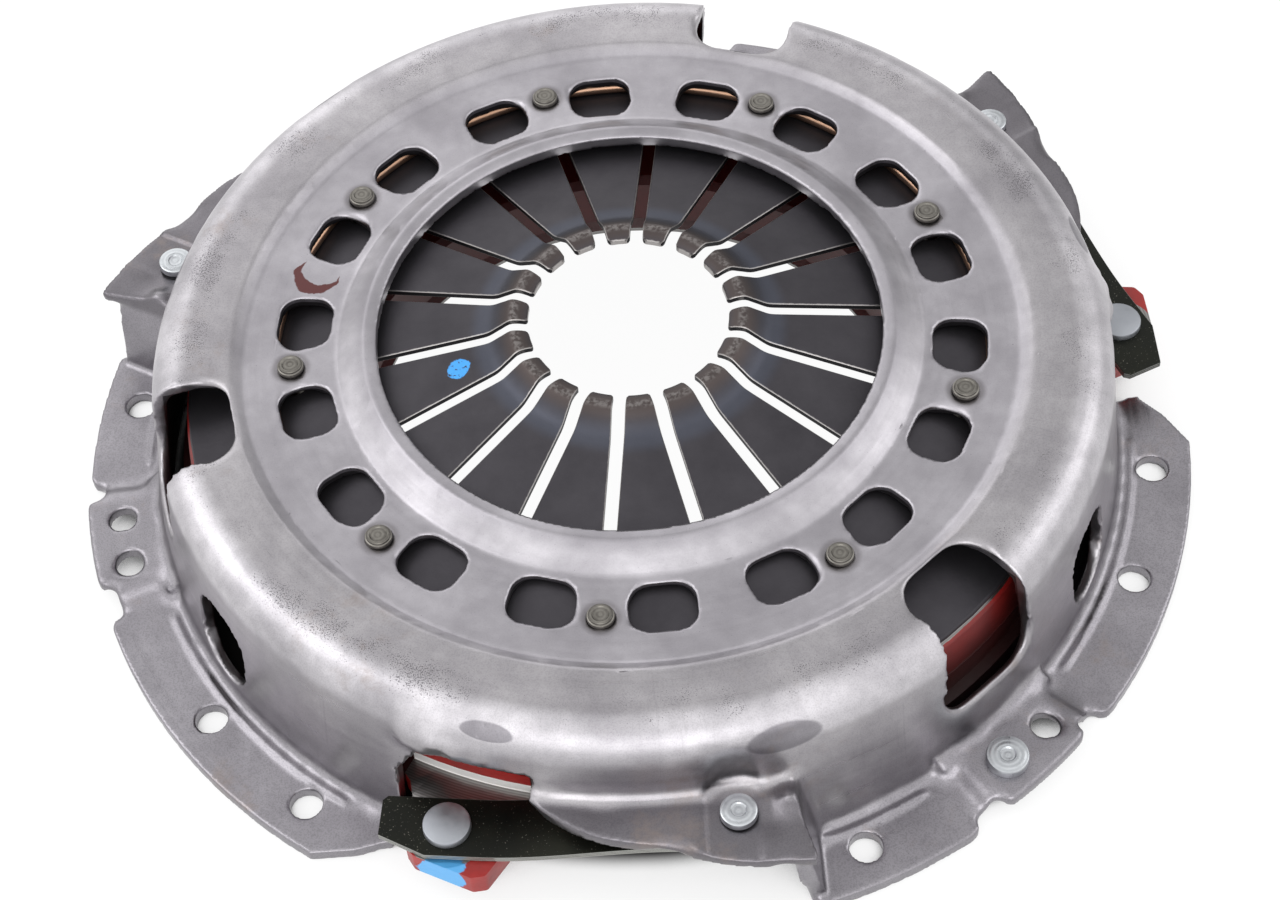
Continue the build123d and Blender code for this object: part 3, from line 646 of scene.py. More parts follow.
    def galled(self, sheet: Sheet) -> Socket:
        """Galled grains of 0.4 mm in a band on the shoulder, dense in patches.

        Args:
            sheet: the finish being written.

        Returns:
            The share of galled metal.
        """
        put = sheet.put
        inner, outer = (put(Kind.FADE, sheet.radius, *edge) for edge in self.galled_band)
        patch = put(Kind.FADE, put(Kind.NOISE, *self.patches.over(sheet.where)), *self.patch_in)
        dense = put(Kind.MULTIPLY, patch, put(Kind.MULTIPLY, inner, outer))
        limit = put(Kind.MULTIPLY_ADD, dense, *self.galled_limit)
        over = put(Kind.SUBTRACT, put(Kind.NOISE, *self.grains.over(sheet.where)), limit)
        return put(Kind.RANGE, over, *self.galled_in)

    def painted_flat_reflection(self, sheet: Sheet, angle: float, level: float, half_width: float,
                  half_height: float) -> Socket:
        """One of the dark flats beside each flap, a painted reflection.

        Args:
            sheet: the finish being written.
            angle: its direction, degrees.
            level: its middle height, millimetres.
            half_width: half its width, millimetres.
            half_height: half its height, millimetres.

        Returns:
            Its share.
        """
        put = sheet.put
        across = put(Kind.MULTIPLY, sheet.off_nearest(angle, SECTORS), self.flat_circle / half_width)
        along = put(Kind.MULTIPLY, put(Kind.SUBTRACT, sheet.z, level * MM), 1 / (half_height * MM))
        reach = put(Kind.ADD, put(Kind.POWER, across, 2.0), put(Kind.POWER, along, 2.0))
        outer = put(Kind.FADE, sheet.radius, *self.flat_edge)
        return put(Kind.MULTIPLY, put(Kind.FADE, reach, *self.flat_reach), outer)

    def painted_inner_shade(self, sheet: Sheet) -> Socket:
        """The inner faces of the drawn wall and of the cover's top, painted dark as shade.

        Args:
            sheet: the finish being written.

        Returns:
            Its share.
        """
        put = sheet.put
        slant = put(Kind.MULTIPLY_ADD, sheet.z, self.draft, sheet.radius)
        below = put(Kind.FADE, sheet.z, *self.roof)
        return put(Kind.MULTIPLY, put(Kind.FADE, slant, *self.inner_wall), below)

    def brush_stroke(self, sheet: Sheet, cloud: Socket) -> Socket:
        """Crescent left by the inspector's brush.

        Args:
            sheet: the finish being written.
            cloud: noise that makes its edge ragged.

        Returns:
            Its share.
        """
        put = sheet.put
        shares = []
        for centre, edge in zip(self.brush, (self.brush_disc, self.brush_hollow)):
            away = put(Kind.DISTANCE, sheet.where, centre)
            shares.append(put(Kind.FADE, put(Kind.MULTIPLY_ADD, cloud, self.ragged, away), *edge))
        return put(Kind.MULTIPLY, *shares)


@dataclass(frozen=True)
class SpringSteel:
    """Quenched chromium-vanadium spring steel: charcoal, with worn bright edges and browned tips, a blue
    sheen painted on the bend and shade painted on the slots' walls.
    """

    dark: str = "49474B"
    darker: str = "302E32"
    # painted shade of the slots' walls
    wall: str = "17161A"
    bright: str = "B4B0AE"
    temper: str = "50453F"
    # painted sheen on the bend
    sheen: str = "545C6C"
    blue_circle: float = 0.0477
    crest_circle: float = 0.0377
    blue_reach: Fade = (0.006, 0.001, 0.28)
    brown_reach: Fade = (0.006, 0.002, 0.5)
    rubbed: Fade = (0.0022, 0.0004, 0.25)
    rubbed_grain: Span = (0.38, 0.62)
    painted_grain: Span = (0.33, 0.45)
    slot_wall_shade: Span = (-0.2, -0.6)
    worn_limit: Span = (0.5, 0.1)
    worn_in: Fade = (0.05, 0.0, 0.8)
    rough: Span = (0.44, 0.3)
    metallic: Span = (-0.85, 0.85)
    ragged: float = 0.006
    dab: Point = (-0.0566, -0.0123, 0.0638)
    dab_reach: Span = (0.0066, 0.0062)
    dab_colour: str = "2F8CD2"
    clouds: Grain = Grain(16.67, 5.0, 0.65)
    fine: Grain = Grain(1.429, 3.0, 0.6)
    relief: Span = (0.5, 0.00008)

    def build(self) -> bpy.types.Material:
        """Makes the material; edge wear and the shade painted on the slots' walls follow the attribute
        edge_mm, below zero on the slots' walls.

        Returns:
            The material.
        """
        sheet = Sheet(bpy.data.materials.new("spring_steel"))
        put = sheet.put
        cloud = put(Kind.NOISE, *self.clouds.over(sheet.where))
        fine = put(Kind.NOISE, *self.fine.over(sheet.where))
        edge = put(Kind.ATTRIBUTE, attribute_name="edge_mm")
        # painted sheen: a blue reflection painted on the bend; heat tint: brown beside the crest
        from_bend = put(Kind.ABSOLUTE, put(Kind.SUBTRACT, sheet.radius, self.blue_circle))
        from_crest = put(Kind.ABSOLUTE, put(Kind.SUBTRACT, sheet.radius, self.crest_circle))
        # rubbed crest, broken up by the grain
        broken = put(Kind.FADE, fine, *self.rubbed_grain)
        rubbed = put(Kind.MULTIPLY, put(Kind.FADE, from_crest, *self.rubbed), broken)
        limit = put(Kind.MULTIPLY_ADD, fine, *self.worn_limit)
        worn = put(Kind.RANGE, put(Kind.ABSOLUTE, edge), limit, *self.worn_in)
        shine = put(Kind.MAXIMUM, worn, rubbed)
        # inspector's dab on one finger
        away = put(Kind.MULTIPLY_ADD, cloud, self.ragged, put(Kind.DISTANCE, sheet.where, self.dab))
        painted = put(Kind.FADE, fine, *self.painted_grain)
        painted = put(Kind.MULTIPLY, put(Kind.FADE, away, *self.dab_reach), painted)
        layers = (
            (cloud, self.dark),
            # painted sheen: blue on the bend
            (put(Kind.FADE, from_bend, *self.blue_reach), self.sheen),
            (put(Kind.FADE, from_crest, *self.brown_reach), self.temper),
            # painted shade: the slots' walls near-black
            (put(Kind.FADE, edge, *self.slot_wall_shade), self.wall),
            (shine, self.bright),
            (painted, self.dab_colour),
        )
        skin = linear(self.darker)
        for share, tone in layers:
            skin = put(Kind.MIX, share, skin, linear(tone))
        rough = put(Kind.RANGE, shine, 0.0, 1.0, *self.rough)
        bump = put(Kind.BUMP, fine, *self.relief)
        return sheet.finish(skin, rough, bump, put(Kind.MULTIPLY_ADD, painted, *self.metallic))


@dataclass(frozen=True)
class TurnedRivet:
    """Rivet head with the rings of the riveting tool on it, followed through the attribute turn_mm."""

    name: str
    pale: str
    deep: str
    ring: float
    roughness: float = 0.34
    rough_in: Span = (0.3, 0.7)
    rough_sway: Span = (0.06, 0.1)
    ring_share: float = 0.16
    ring_height: float = 0.5
    clouds: Grain = Grain(2.63, 4.0, 0.65)
    relief: Span = (0.5, 0.0001)

    def build(self) -> bpy.types.Material:
        """Makes the material.

        Returns:
            The material.
        """
        sheet = Sheet(bpy.data.materials.new(self.name))
        put = sheet.put
        turn = put(Kind.ATTRIBUTE, attribute_name="turn_mm")
        wave = put(Kind.SINE, put(Kind.MULTIPLY, turn, math.tau / self.ring))
        cloud = put(Kind.NOISE, *self.clouds.over(sheet.where))
        share = put(Kind.MULTIPLY_ADD, wave, self.ring_share, cloud)
        colour = put(Kind.MIX, share, linear(self.deep), linear(self.pale))
        less, more = self.rough_sway
        rough = put(Kind.RANGE, cloud, *self.rough_in, self.roughness - less, self.roughness + more)
        bump = put(Kind.BUMP, put(Kind.MULTIPLY_ADD, wave, self.ring_height, cloud), *self.relief)
        return sheet.finish(colour, rough, bump, 1.0)


@dataclass(frozen=True)
class DrawnWire:
    """Hard-drawn wire with a thin copper flash left from the drawing."""

    pale: str = "C49A7C"
    deep: str = "8A7468"
    clouds: Grain = Grain(14.3, 4.0)
    rough: Span = (0.25, 0.4)
    relief: Span = (0.2, 0.00005)

    def build(self) -> bpy.types.Material:
        """Makes the material.

        Returns:
            The material.
        """
        sheet = Sheet(bpy.data.materials.new("drawn_wire"))
        put = sheet.put
        cloud = put(Kind.NOISE, *self.clouds.over(sheet.where))
        colour = put(Kind.MIX, cloud, linear(self.deep), linear(self.pale))
        rough = put(Kind.RANGE, cloud, 0.0, 1.0, *self.rough)
        return sheet.finish(colour, rough, put(Kind.BUMP, cloud, *self.relief), 1.0)


@dataclass(frozen=True)
class PaintedCasting:
    """Grey cast iron with red primer, turned bare on the friction face, the ridge and the lugs' tops; a
    highlight is painted on the lugs' turned walls and shade is painted deep under the shoulder and the
    spring.

    Places are in metres.
    """

    primer: str = "A31812"
    shade: str = "5A0E0C"
    bare: str = "9A9896"
    groove: str = "5E5C5B"
    # painted highlight of the lugs' turned walls
    wall_highlight_tone: str = "F0EEEC"
    # painted shade deep under the shoulder and the spring
    deep_shade_tone: str = "120707"
    blue: str = "4E97CC"
    face_top: float = 0.0094
    face_rim: float = 0.156
    lug_top: float = 0.0186
    wall: float = 0.1513
    wall_top: float = 0.0226
    ridge: float = 0.0440
    ridge_ragged: float = 0.0012
    close: float = 0.00025
    wall_slack: float = 0.0004
    face_slack: float = 0.0001
    lug_half: float = 7.5
    spot: float = 0.0128
    feed: float = 0.0009
    deep_shade_rim: Span = (0.1470, 0.1518)
    deep_shade_core: Fade = (0.1450, 0.1405, 0.75)
    deep_shade_share: float = 0.96
    dab: Point = (-0.0695, -0.1703, 0.0128)
    dab_reach: Span = (0.0160, 0.0154)
    dab_ragged: float = 0.014
    groove_light: Span = (0.25, 0.6)
    rough: Span = (0.42, 0.3)
    metallic: Span = (-0.6, 0.95)
    clouds: Grain = Grain(11.11, 5.0, 0.6)
    sand: Grain = Grain(2.0, 3.0)
    relief: Span = (0.4, 0.0002)

    def build(self) -> bpy.types.Material:
        """Makes the material; where it is bare follows height, radius and direction.

        Returns:
            The material.
        """
        sheet = Sheet(bpy.data.materials.new("cast_iron_primer"))
        put = sheet.put
        cloud = put(Kind.NOISE, *self.clouds.over(sheet.where))
        off_lug = put(Kind.ABSOLUTE, sheet.off_nearest(LUG_ANGLE, SECTORS))
        at_lug = put(Kind.LESS, off_lug, math.radians(self.lug_half))
        low = put(Kind.MULTIPLY, put(Kind.LESS, sheet.z, self.wall_top), at_lug)
        wall = put(Kind.MULTIPLY, put(Kind.EQUAL, sheet.radius, self.wall, self.close), low)
        under = put(Kind.LESS, sheet.radius, self.face_rim)
        face = put(Kind.MULTIPLY, put(Kind.LESS, sheet.z, self.face_top), under)
        ridge = put(Kind.MORE, put(Kind.MULTIPLY_ADD, cloud, self.ridge_ragged, sheet.z), self.ridge)
        bare = face
        for part in (self.spot_face(sheet, at_lug), wall, ridge):
            bare = put(Kind.MAXIMUM, bare, part)
        # lathe feed of 0.9 mm, coarser than real so that it shows
        groove = put(Kind.SINE, put(Kind.MULTIPLY, sheet.radius, math.tau / self.feed))
        lit = put(Kind.MULTIPLY_ADD, groove, *self.groove_light)
        iron = put(Kind.MIX, lit, linear(self.groove), linear(self.bare))
        # painted highlight: the lug's turned wall is near-white
        iron = put(Kind.MIX, wall, iron, linear(self.wall_highlight_tone))
        red = put(Kind.MIX, cloud, linear(self.shade), linear(self.primer))
        # painted shade: the primer turns near-black deep under the shoulder and the spring
        red = put(Kind.MIX, self.deep_shade(sheet, at_lug), red, linear(self.deep_shade_tone))
        # inspector's blue dab on the outer face of one lug
        away = put(Kind.MULTIPLY_ADD, cloud, self.dab_ragged, put(Kind.DISTANCE, sheet.where, self.dab))
        colour = put(Kind.MIX, bare, red, iron)
        colour = put(Kind.MIX, put(Kind.RANGE, away, *self.dab_reach), colour, linear(self.blue))
        rough = put(Kind.RANGE, bare, 0.0, 1.0, *self.rough)
        bump = put(Kind.BUMP, put(Kind.NOISE, *self.sand.over(sheet.where)), *self.relief)
        metal = put(Kind.MULTIPLY, bare, put(Kind.MULTIPLY_ADD, wall, *self.metallic))
        return sheet.finish(colour, rough, bump, metal)

    def spot_face(self, sheet: Sheet, at_lug: Socket) -> Socket:
        """The lug's top, spot-faced round its rivet and bare inward of it; the rest keeps the primer.

        Args:
            sheet: the finish being written.
            at_lug: 1 in the direction of a lug.

        Returns:
            1 where the top is bare.
        """
        put = sheet.put
        top = put(Kind.MULTIPLY, put(Kind.EQUAL, sheet.z, self.lug_top, self.close),
                  put(Kind.MORE, sheet.radius, self.wall - self.wall_slack))
        faced = put(Kind.LESS, sheet.rivet_distance(LUG_CIRCLE, LUG_ANGLE, SECTORS), self.spot)
        inward = put(Kind.LESS, sheet.radius, LUG_CIRCLE * MM)
        return put(Kind.MULTIPLY, put(Kind.MULTIPLY, top, at_lug), put(Kind.MAXIMUM, faced, inward))

    def deep_shade(self, sheet: Sheet, at_lug: Socket) -> Socket:
        """Painted shade where the plate lies deep under the shoulder and further in under the spring.

        Args:
            sheet: the finish being written.
            at_lug: 1 in the direction of a lug.

        Returns:
            Its share.
        """
        put = sheet.put
        rim = put(Kind.MULTIPLY, put(Kind.FADE, sheet.radius, *self.deep_shade_rim),
                  put(Kind.MORE, sheet.z, self.face_top + self.face_slack))
        rim = put(Kind.MULTIPLY, rim, put(Kind.SUBTRACT, 1.0, at_lug))
        dust = put(Kind.MAXIMUM, rim, put(Kind.FADE, sheet.radius, *self.deep_shade_core))
        return put(Kind.MULTIPLY, dust, self.deep_shade_share)


@dataclass(frozen=True)
class BlackedStrap:
    """Spring strip with a black oxide skin that turns olive in patches, bare at its sheared edges."""

    dark: str = "0E1114"
    olive: str = "27281F"
    sheared: str = "8A8A86"
    dust: str = "77756C"
    dust_in: Span = (0.66, 0.76)
    sheared_edge: Span = (0.5, 0.1)
    clouds: Grain = Grain(20.0, 5.0, 0.6)
    grit: Grain = Grain(0.588)
    fine: Grain = Grain(1.111)
    rough: Span = (0.24, 0.42)
    metallic: float = 0.8
    relief: Span = (0.2, 0.00004)

    def build(self) -> bpy.types.Material:
        """Makes the material.

        Returns:
            The material.
        """
        sheet = Sheet(bpy.data.materials.new("black_oxide_strip"))
        put = sheet.put
        grains = (self.clouds, self.grit, self.fine)
        cloud, grit, fine = (put(Kind.NOISE, *grain.over(sheet.where)) for grain in grains)
        edge = put(Kind.ATTRIBUTE, attribute_name="edge_mm")
        skin = put(Kind.MIX, cloud, linear(self.dark), linear(self.olive))
        skin = put(Kind.MIX, put(Kind.FADE, grit, *self.dust_in), skin, linear(self.dust))
        skin = put(Kind.MIX, put(Kind.FADE, edge, *self.sheared_edge), skin, linear(self.sheared))
        rough = put(Kind.RANGE, cloud, 0.0, 1.0, *self.rough)
        return sheet.finish(skin, rough, put(Kind.BUMP, fine, *self.relief), self.metallic)


# ----------------------------------------------------------------- sub-assemblies
@dataclass(frozen=True)
class Dent:
    """A soft local move of the sheet, repeated in each sector.

    The centre is in millimetres in the first sector; out and up are the pushes in millimetres.
    """

    centre: Point
    radius: float
    out: float
    up: float


@dataclass
class PressedCover:
    """The pressed cover: the CAD form with the soft folds that a press tool leaves.

    Edges where a punch or trimming tool cut the sheet stay crisp; edges where the sheet is
    only folded or drawn are rounded. Soft spots, dents, seat and beads are in millimetres and
    degrees of the first sector.
    """

    voxel: float = 0.88 * MM
    guard: float = 1.5 * MM
    sharp: float = 24.0
    sample: float = 0.5 * MM
    cut_depth: float = 6.4 * MM
    deepest: float = 50.0 * MM
    fold_reach: float = 5.5 * MM
    fold_start: float = 0.8 * MM
    fold_passes: int = 40
    triangles: int = 186000
    soft_spots: tuple[tuple[Point, float], ...] = (
        ((-167.0, -8.2, 4.5), 8.0),
        ((-159.8, -49.3, 4.5), 8.0),
    )
    dents: tuple[Dent, ...] = (
        Dent((38.2, -165.4, 38.0), 4.0, 0.0, 2.8),
        Dent((30.5, -171.5, 37.5), 5.5, 0.0, -1.0),
        Dent((-75.5, -140.5, 49.5), 4.5, 2.4, 0.0),
        Dent((-68.5, -144.0, 51.5), 4.0, 2.2, 0.0),
        Dent((-62.0, -147.5, 49.5), 3.6, 1.9, 0.0),
        Dent((-71.0, -144.0, 46.0), 3.5, 1.5, 0.0),
        Dent((-55.5, -150.5, 48.5), 3.0, 1.1, 0.0),
        Dent((-20.0, -163.0, 37.5), 7.0, 0.0, -0.5),
    )
    seat_x: Span = (11.5, 30.0)
    seat_slopes: Span = (1.4, 4.0)
    seat_front: float = -159.0
    seat_z: Span = (36.0, 40.0)
    seat_depth: float = 0.75
    bead_circle: float = 169.4
    bead_width: float = 1.1
    bead_height: float = 1.0
    bead_top: float = 9.0
    bead_spans: tuple[Span, ...] = ((166.0, 179.5), (200.5, 234.5))

    def build(self, finish: bpy.types.Material) -> bpy.types.Object:
        """Remeshes the cover finely, rounds its folds and puts the rest on the exact form.

        Args:
            finish: the cover's material.

        Returns:
            The cover piece.
        """
        exact = merged_copy("cover", "cover_exact")
        bm = bmesh.new()
        bm.from_mesh(exact.data)
        surface = BVHTree.FromBMesh(bm)
        folds, cuts = self.edges(bm, surface)
        bm.free()
        body = new_object("pressed_cover", exact.data.copy())
        modifier = body.modifiers.new("soft", "REMESH")
        modifier.mode = "VOXEL"
        modifier.voxel_size = self.voxel
        settled(body)
        near_cut = self.relax(body.data, surface, folds, cuts)
        body.data.update()
        group = body.vertex_groups.new(name="free")
        group.add(np.flatnonzero(~near_cut).tolist(), 1.0, "REPLACE")
        thin = body.modifiers.new("thin", "DECIMATE")
        thin.ratio = min(1.0, self.triangles / (2 * len(body.data.polygons)))
        thin.vertex_group = group.name
        settled(body)
        bpy.data.objects.remove(exact)
        body.data.shade_smooth()
        body.data.materials.clear()
        body.data.materials.append(finish)
        return body

    def edges(self, bm: bmesh.types.BMesh, surface: BVHTree) -> list[KDTree]:
        """Sorts the sharp edges into folds and cuts by how deep the metal is behind their faces.

        Args:
            bm: the exact cover.
            surface: search tree over the same surface.

        Returns:
            Points along the folds and points along the cuts.
        """
        depth: dict[int, float] = {}

        def metal(face: bmesh.types.BMFace) -> float:
            """Depth of metal behind a face."""
            if face.index not in depth:
                start = face.calc_center_median() - face.normal * 0.01 * MM
                far = surface.ray_cast(start, -face.normal, self.deepest)[3]
                depth[face.index] = self.deepest if far is None else far
            return depth[face.index]

        bm.faces.index_update()
        points: tuple[list[Vector], list[Vector]] = ([], [])
        for edge in bm.edges:
            if len(edge.link_faces) != 2 or edge.calc_face_angle(0) < math.radians(self.sharp):
                continue
            is_cut = max(metal(face) for face in edge.link_faces) > self.cut_depth
            a, b = edge.verts[0].co, edge.verts[1].co
            steps = max(1, int((b - a).length / self.sample))
            points[is_cut].extend(a.lerp(b, i / steps) for i in range(steps + 1))
        trees = []
        for group in points:
            tree = KDTree(len(group))
            for i, point in enumerate(group):
                tree.insert(point, i)
            tree.balance()
            trees.append(tree)
        return trees

    def relax(self, mesh: bpy.types.Mesh, surface: BVHTree, folds: KDTree, cuts: KDTree) -> np.ndarray:
        """Removes the voxel steps, keeps the cuts crisp and rounds the folds.

        Args:
            mesh: the remeshed cover.
            surface: search tree over the exact surface.
            folds: points along the folds.
            cuts: points along the cuts.

        Returns:
            Which points lie beside a cut.
        """
        count = len(mesh.vertices)
        co = np.empty(count * 3)
        mesh.vertices.foreach_get("co", co)
        co = co.reshape(-1, 3)
        ends = np.empty(len(mesh.edges) * 2, dtype=np.int64)
        mesh.edges.foreach_get("vertices", ends)
        ends = ends.reshape(-1, 2)
        here = np.concatenate((ends[:, 0], ends[:, 1]))
        there = np.concatenate((ends[:, 1], ends[:, 0]))
        degree = np.maximum(np.bincount(here, minlength=count), 1)

        def smooth(weight: np.ndarray | float, passes: int) -> None:
            """Moves each point towards the mean of its neighbours."""
            for _ in range(passes):
                sums = [np.bincount(here, co[there, k], minlength=count) / degree for k in range(3)]
                co[:] += weight * (np.stack(sums, axis=1) - co)

        smooth(0.5, 2)
        fold_share = np.zeros((count, 1))
        near_cut = np.zeros(count, dtype=bool)
        melted = self.softness(co)
        for i in range(count):
            point = Vector(co[i])
            spot, _, _, gap = surface.find_nearest(point)
            if spot is not None and gap < self.voxel:
                co[i] = spot
            edge, _, off = cuts.find(point)
            near_cut[i] = off < self.guard
            if off < 0.7 * self.voxel and melted[i] < 0.2:
                co[i] = edge
            away = folds.find(point)[2]
            t = max(0.0, 1 - away / self.fold_reach) * min(1.0, off / self.fold_start)
            t = max(t, melted[i])
            fold_share[i] = t * t * (3 - 2 * t)
        smooth(0.55 * fold_share, self.fold_passes)
        self.sculpt(co)
        smooth(0.35 * (0.6 + 0.4 * near_cut[:, None]), 2)
        mesh.vertices.foreach_set("co", co.ravel())
        return near_cut

    def softness(self, co: np.ndarray) -> np.ndarray:
        """How far each point lies in one of the soft spots, where the ramps run into the skirt.

        Args:
            co: the cover's points in metres.

        Returns:
            A share from 0 to 1 for each point.
        """
        share = np.zeros(len(co))
        for sector in range(SECTORS):
            turn = Matrix.Rotation(math.tau * sector / SECTORS, 3, "Z")
            for spot, reach in self.soft_spots:
                middle = np.array(turn @ Vector(spot)) * MM
                gap = np.linalg.norm(co - middle, axis=1) / (reach * MM)
                share = np.maximum(share, np.clip(1.6 * (1 - gap), 0, 1))
        return share

    def sculpt(self, co: np.ndarray) -> None:
        """Adds the seat of each strap rivet, the beads at the skirt's foot and the soft bulges.

        Args:
            co: the cover's points in metres, changed in place.
        """
        for sector in range(SECTORS):
            turn = math.tau * sector / SECTORS
            cos, sin = math.cos(turn), math.sin(turn)
            x = (co[:, 0] * cos + co[:, 1] * sin) / MM
            y = (-co[:, 0] * sin + co[:, 1] * cos) / MM
            z = co[:, 2] / MM
            away = np.maximum(np.hypot(x, y), 1.0)
            out = np.zeros_like(x)
            up = np.zeros_like(x)
            for dent in self.dents:
                gap = (x - dent.centre[0]) ** 2 + (y - dent.centre[1]) ** 2 + (z - dent.centre[2]) ** 2
                share = np.exp(-gap / dent.radius ** 2)
                out += dent.out * share
                up += dent.up * share
            enter = np.clip((x - self.seat_x[0]) / self.seat_slopes[0], 0, 1)
            rise = enter * np.clip((self.seat_x[1] - x) / self.seat_slopes[1], 0, 1)
            on_flap = (y < self.seat_front) & (z > self.seat_z[0]) & (z < self.seat_z[1])
            up -= self.seat_depth * rise * rise * (3 - 2 * rise) * on_flap
            angle = np.degrees(np.arctan2(y, x)) % 360
            hump = self.bead_height * np.exp(-((away - self.bead_circle) / self.bead_width) ** 2)
            for start, end in self.bead_spans:
                up += hump * (z < self.bead_top) * np.clip(angle - start, 0, 1) * np.clip(end - angle, 0, 1)
            co[:, 0] += out * MM * (x * cos - y * sin) / away
            co[:, 1] += out * MM * (x * sin + y * cos) / away
            co[:, 2] += up * MM


@dataclass
class DiaphragmSpring:
    """The one-piece spring: 18 fingers, slots with keyholes, and the outer cone. Millimetres."""

    fingers: int = 18
    slot: float = 4.3
    keyhole: float = 5.6
    tip: float = 33.0
    rim: float = 148.4
    slope: float = 0.1864
    sheet: float = 2.5
    ring: float = 119.3
    top_at_ring: float = 52.3657
    bend: float = 50.0
    chamfer: float = 0.35
    rows: tuple[float, ...] = (0.0, 1.0, 2.2)
    crest: tuple[Span, ...] = ((33.0, 4.6), (38.2, 6.0), (42.2, 3.7), (46.2, 1.0), (50.0, 0.0), (54.0, -0.8))
    tip_slope: float = 0.55
    tip_round: tuple[tuple[float, float, float], ...] = ((0.0, 0.9, 0.35), (0.35, 0.35, 0.0))
    rim_round: float = 0.5
    keyhole_steps: int = 14

    @property
    def thick(self) -> float:
        """Height of the sheet, measured upright through the cone."""
        return self.sheet * math.hypot(1, self.slope)

    @property
    def slot_end(self) -> float:
        """Radius of the keyholes' outer edge."""
        return RIVET_CIRCLE + self.keyhole

    def top(self, r: float) -> float:
        """Height of the upper face: the cone, then a smooth curve through the crest.

        Args:
            r: radius.

        Returns:
            The height.
        """
        if r >= self.bend:
            return self.top_at_ring + self.slope * (self.ring - r)
        knots = self.crest
        i = max(k for k in range(len(knots) - 2) if knots[k][0] <= r + 1e-9)

        def steepness(k: int) -> float:
            """Slope of the curve at one of its knots."""
            if k < 2:
                return (self.tip_slope, 0.0)[k]
            return (knots[k + 1][1] - knots[k - 1][1]) / (knots[k + 1][0] - knots[k - 1][0])

        (x0, y0), (x1, y1) = knots[i], knots[i + 1]
        t = (r - x0) / (x1 - x0)
        ease = t * t * (3 - 2 * t)
        sway = (x1 - x0) * t * (1 - t) * ((1 - t) * steepness(i) - t * steepness(i + 1))
        return self.top_at_ring + self.slope * (self.ring - self.bend) + (1 - ease) * y0 + ease * y1 + sway

    def half_angle(self, r: float) -> float:
        """Half angle of a finger, bounded by slots, then by keyholes.

        Args:
            r: radius.

        Returns:
            The angle in radians.
        """
        full = math.pi / self.fingers
        inner = RIVET_CIRCLE - math.sqrt(self.keyhole**2 - (self.slot / 2) ** 2)
        if r < math.hypot(inner, self.slot / 2):
            return full - math.asin(self.slot / 2 / r)
        if r < self.slot_end:
            cos = (r * r + RIVET_CIRCLE**2 - self.keyhole**2) / (2 * r * RIVET_CIRCLE)
            return full - math.acos(min(1.0, cos))
        return full

    def stations(self) -> list[float]:
        """Lists the radii at which the finger is cut into rows.

        Returns:
            The radii, from the tip out.
        """
        tip = [self.tip, self.tip + 0.35, self.tip + 1.0]
        rows = tip + list(np.arange(self.tip + 2, self.bend, 1.0)) + list(np.arange(self.bend, 106.0, 4.0))
        widest = math.pi - math.asin(self.slot / 2 / self.keyhole)
        for k in range(self.keyhole_steps + 1):
            a = widest * (1 - k / self.keyhole_steps)
            rows.append(math.hypot(RIVET_CIRCLE + self.keyhole * math.cos(a), self.keyhole * math.sin(a)))
        return rows + list(np.arange(119.0, 147.0, 4.0)) + [self.rim - 0.5, self.rim]

    def ring_of(self, bm: bmesh.types.BMesh, r: float) -> list[bmesh.types.BMVert | None]:
        """Sets the points of one row across a finger, round its upper and lower face.

        Args:
            bm: mesh to add to.
            r: the row's radius.

        Returns:
            The points, with None for the wall's middle where neighbouring fingers are one piece.
        """
        layer = bm.verts.layers.float["edge_mm"]
        free = r < self.slot_end - 0.3
        soft = self.chamfer if free else 0.0
        tuck, drop = next(((t, d) for at, t, d in self.tip_round if r == self.tip + at), (0.0, 0.0))
        drop = self.rim_round if r == self.rim else drop
        half = self.half_angle(r) - tuck / r
        insets = [self.rows[0], max(soft, 0.02), *self.rows[1:]]
        angles = [-(half - i / r) for i in insets] + [-(half - insets[-1] / r) / 2, 0.0]
        angles += [-a for a in reversed(angles[:-1])]
        middle = [math.inf] * 3
        spots = list(zip(angles, insets + middle + insets[::-1]))
        ring: list[bmesh.types.BMVert | None] = []
        for side in (1, -1):
            for n, (a, gap) in enumerate(spots[::side]):
                sink = (soft if n in (0, len(spots) - 1) else 0.0) + drop
                z = self.top(r) - sink if side == 1 else self.top(r) - self.thick + sink
                v = bm.verts.new(Vector((*polar(r, math.degrees(a)), z)) * MM)
                v[layer] = min(gap, r - self.tip + 0.02) if free else 9.0
                ring.append(v)
            if r > self.slot_end:
                ring.append(None)
                continue
            place = polar(r, math.degrees(spots[::side][-1][0]))
            v = bm.verts.new(Vector((*place, self.top(r) - self.thick / 2)) * MM)
            v[layer] = -3.0
            ring.append(v)
        return ring

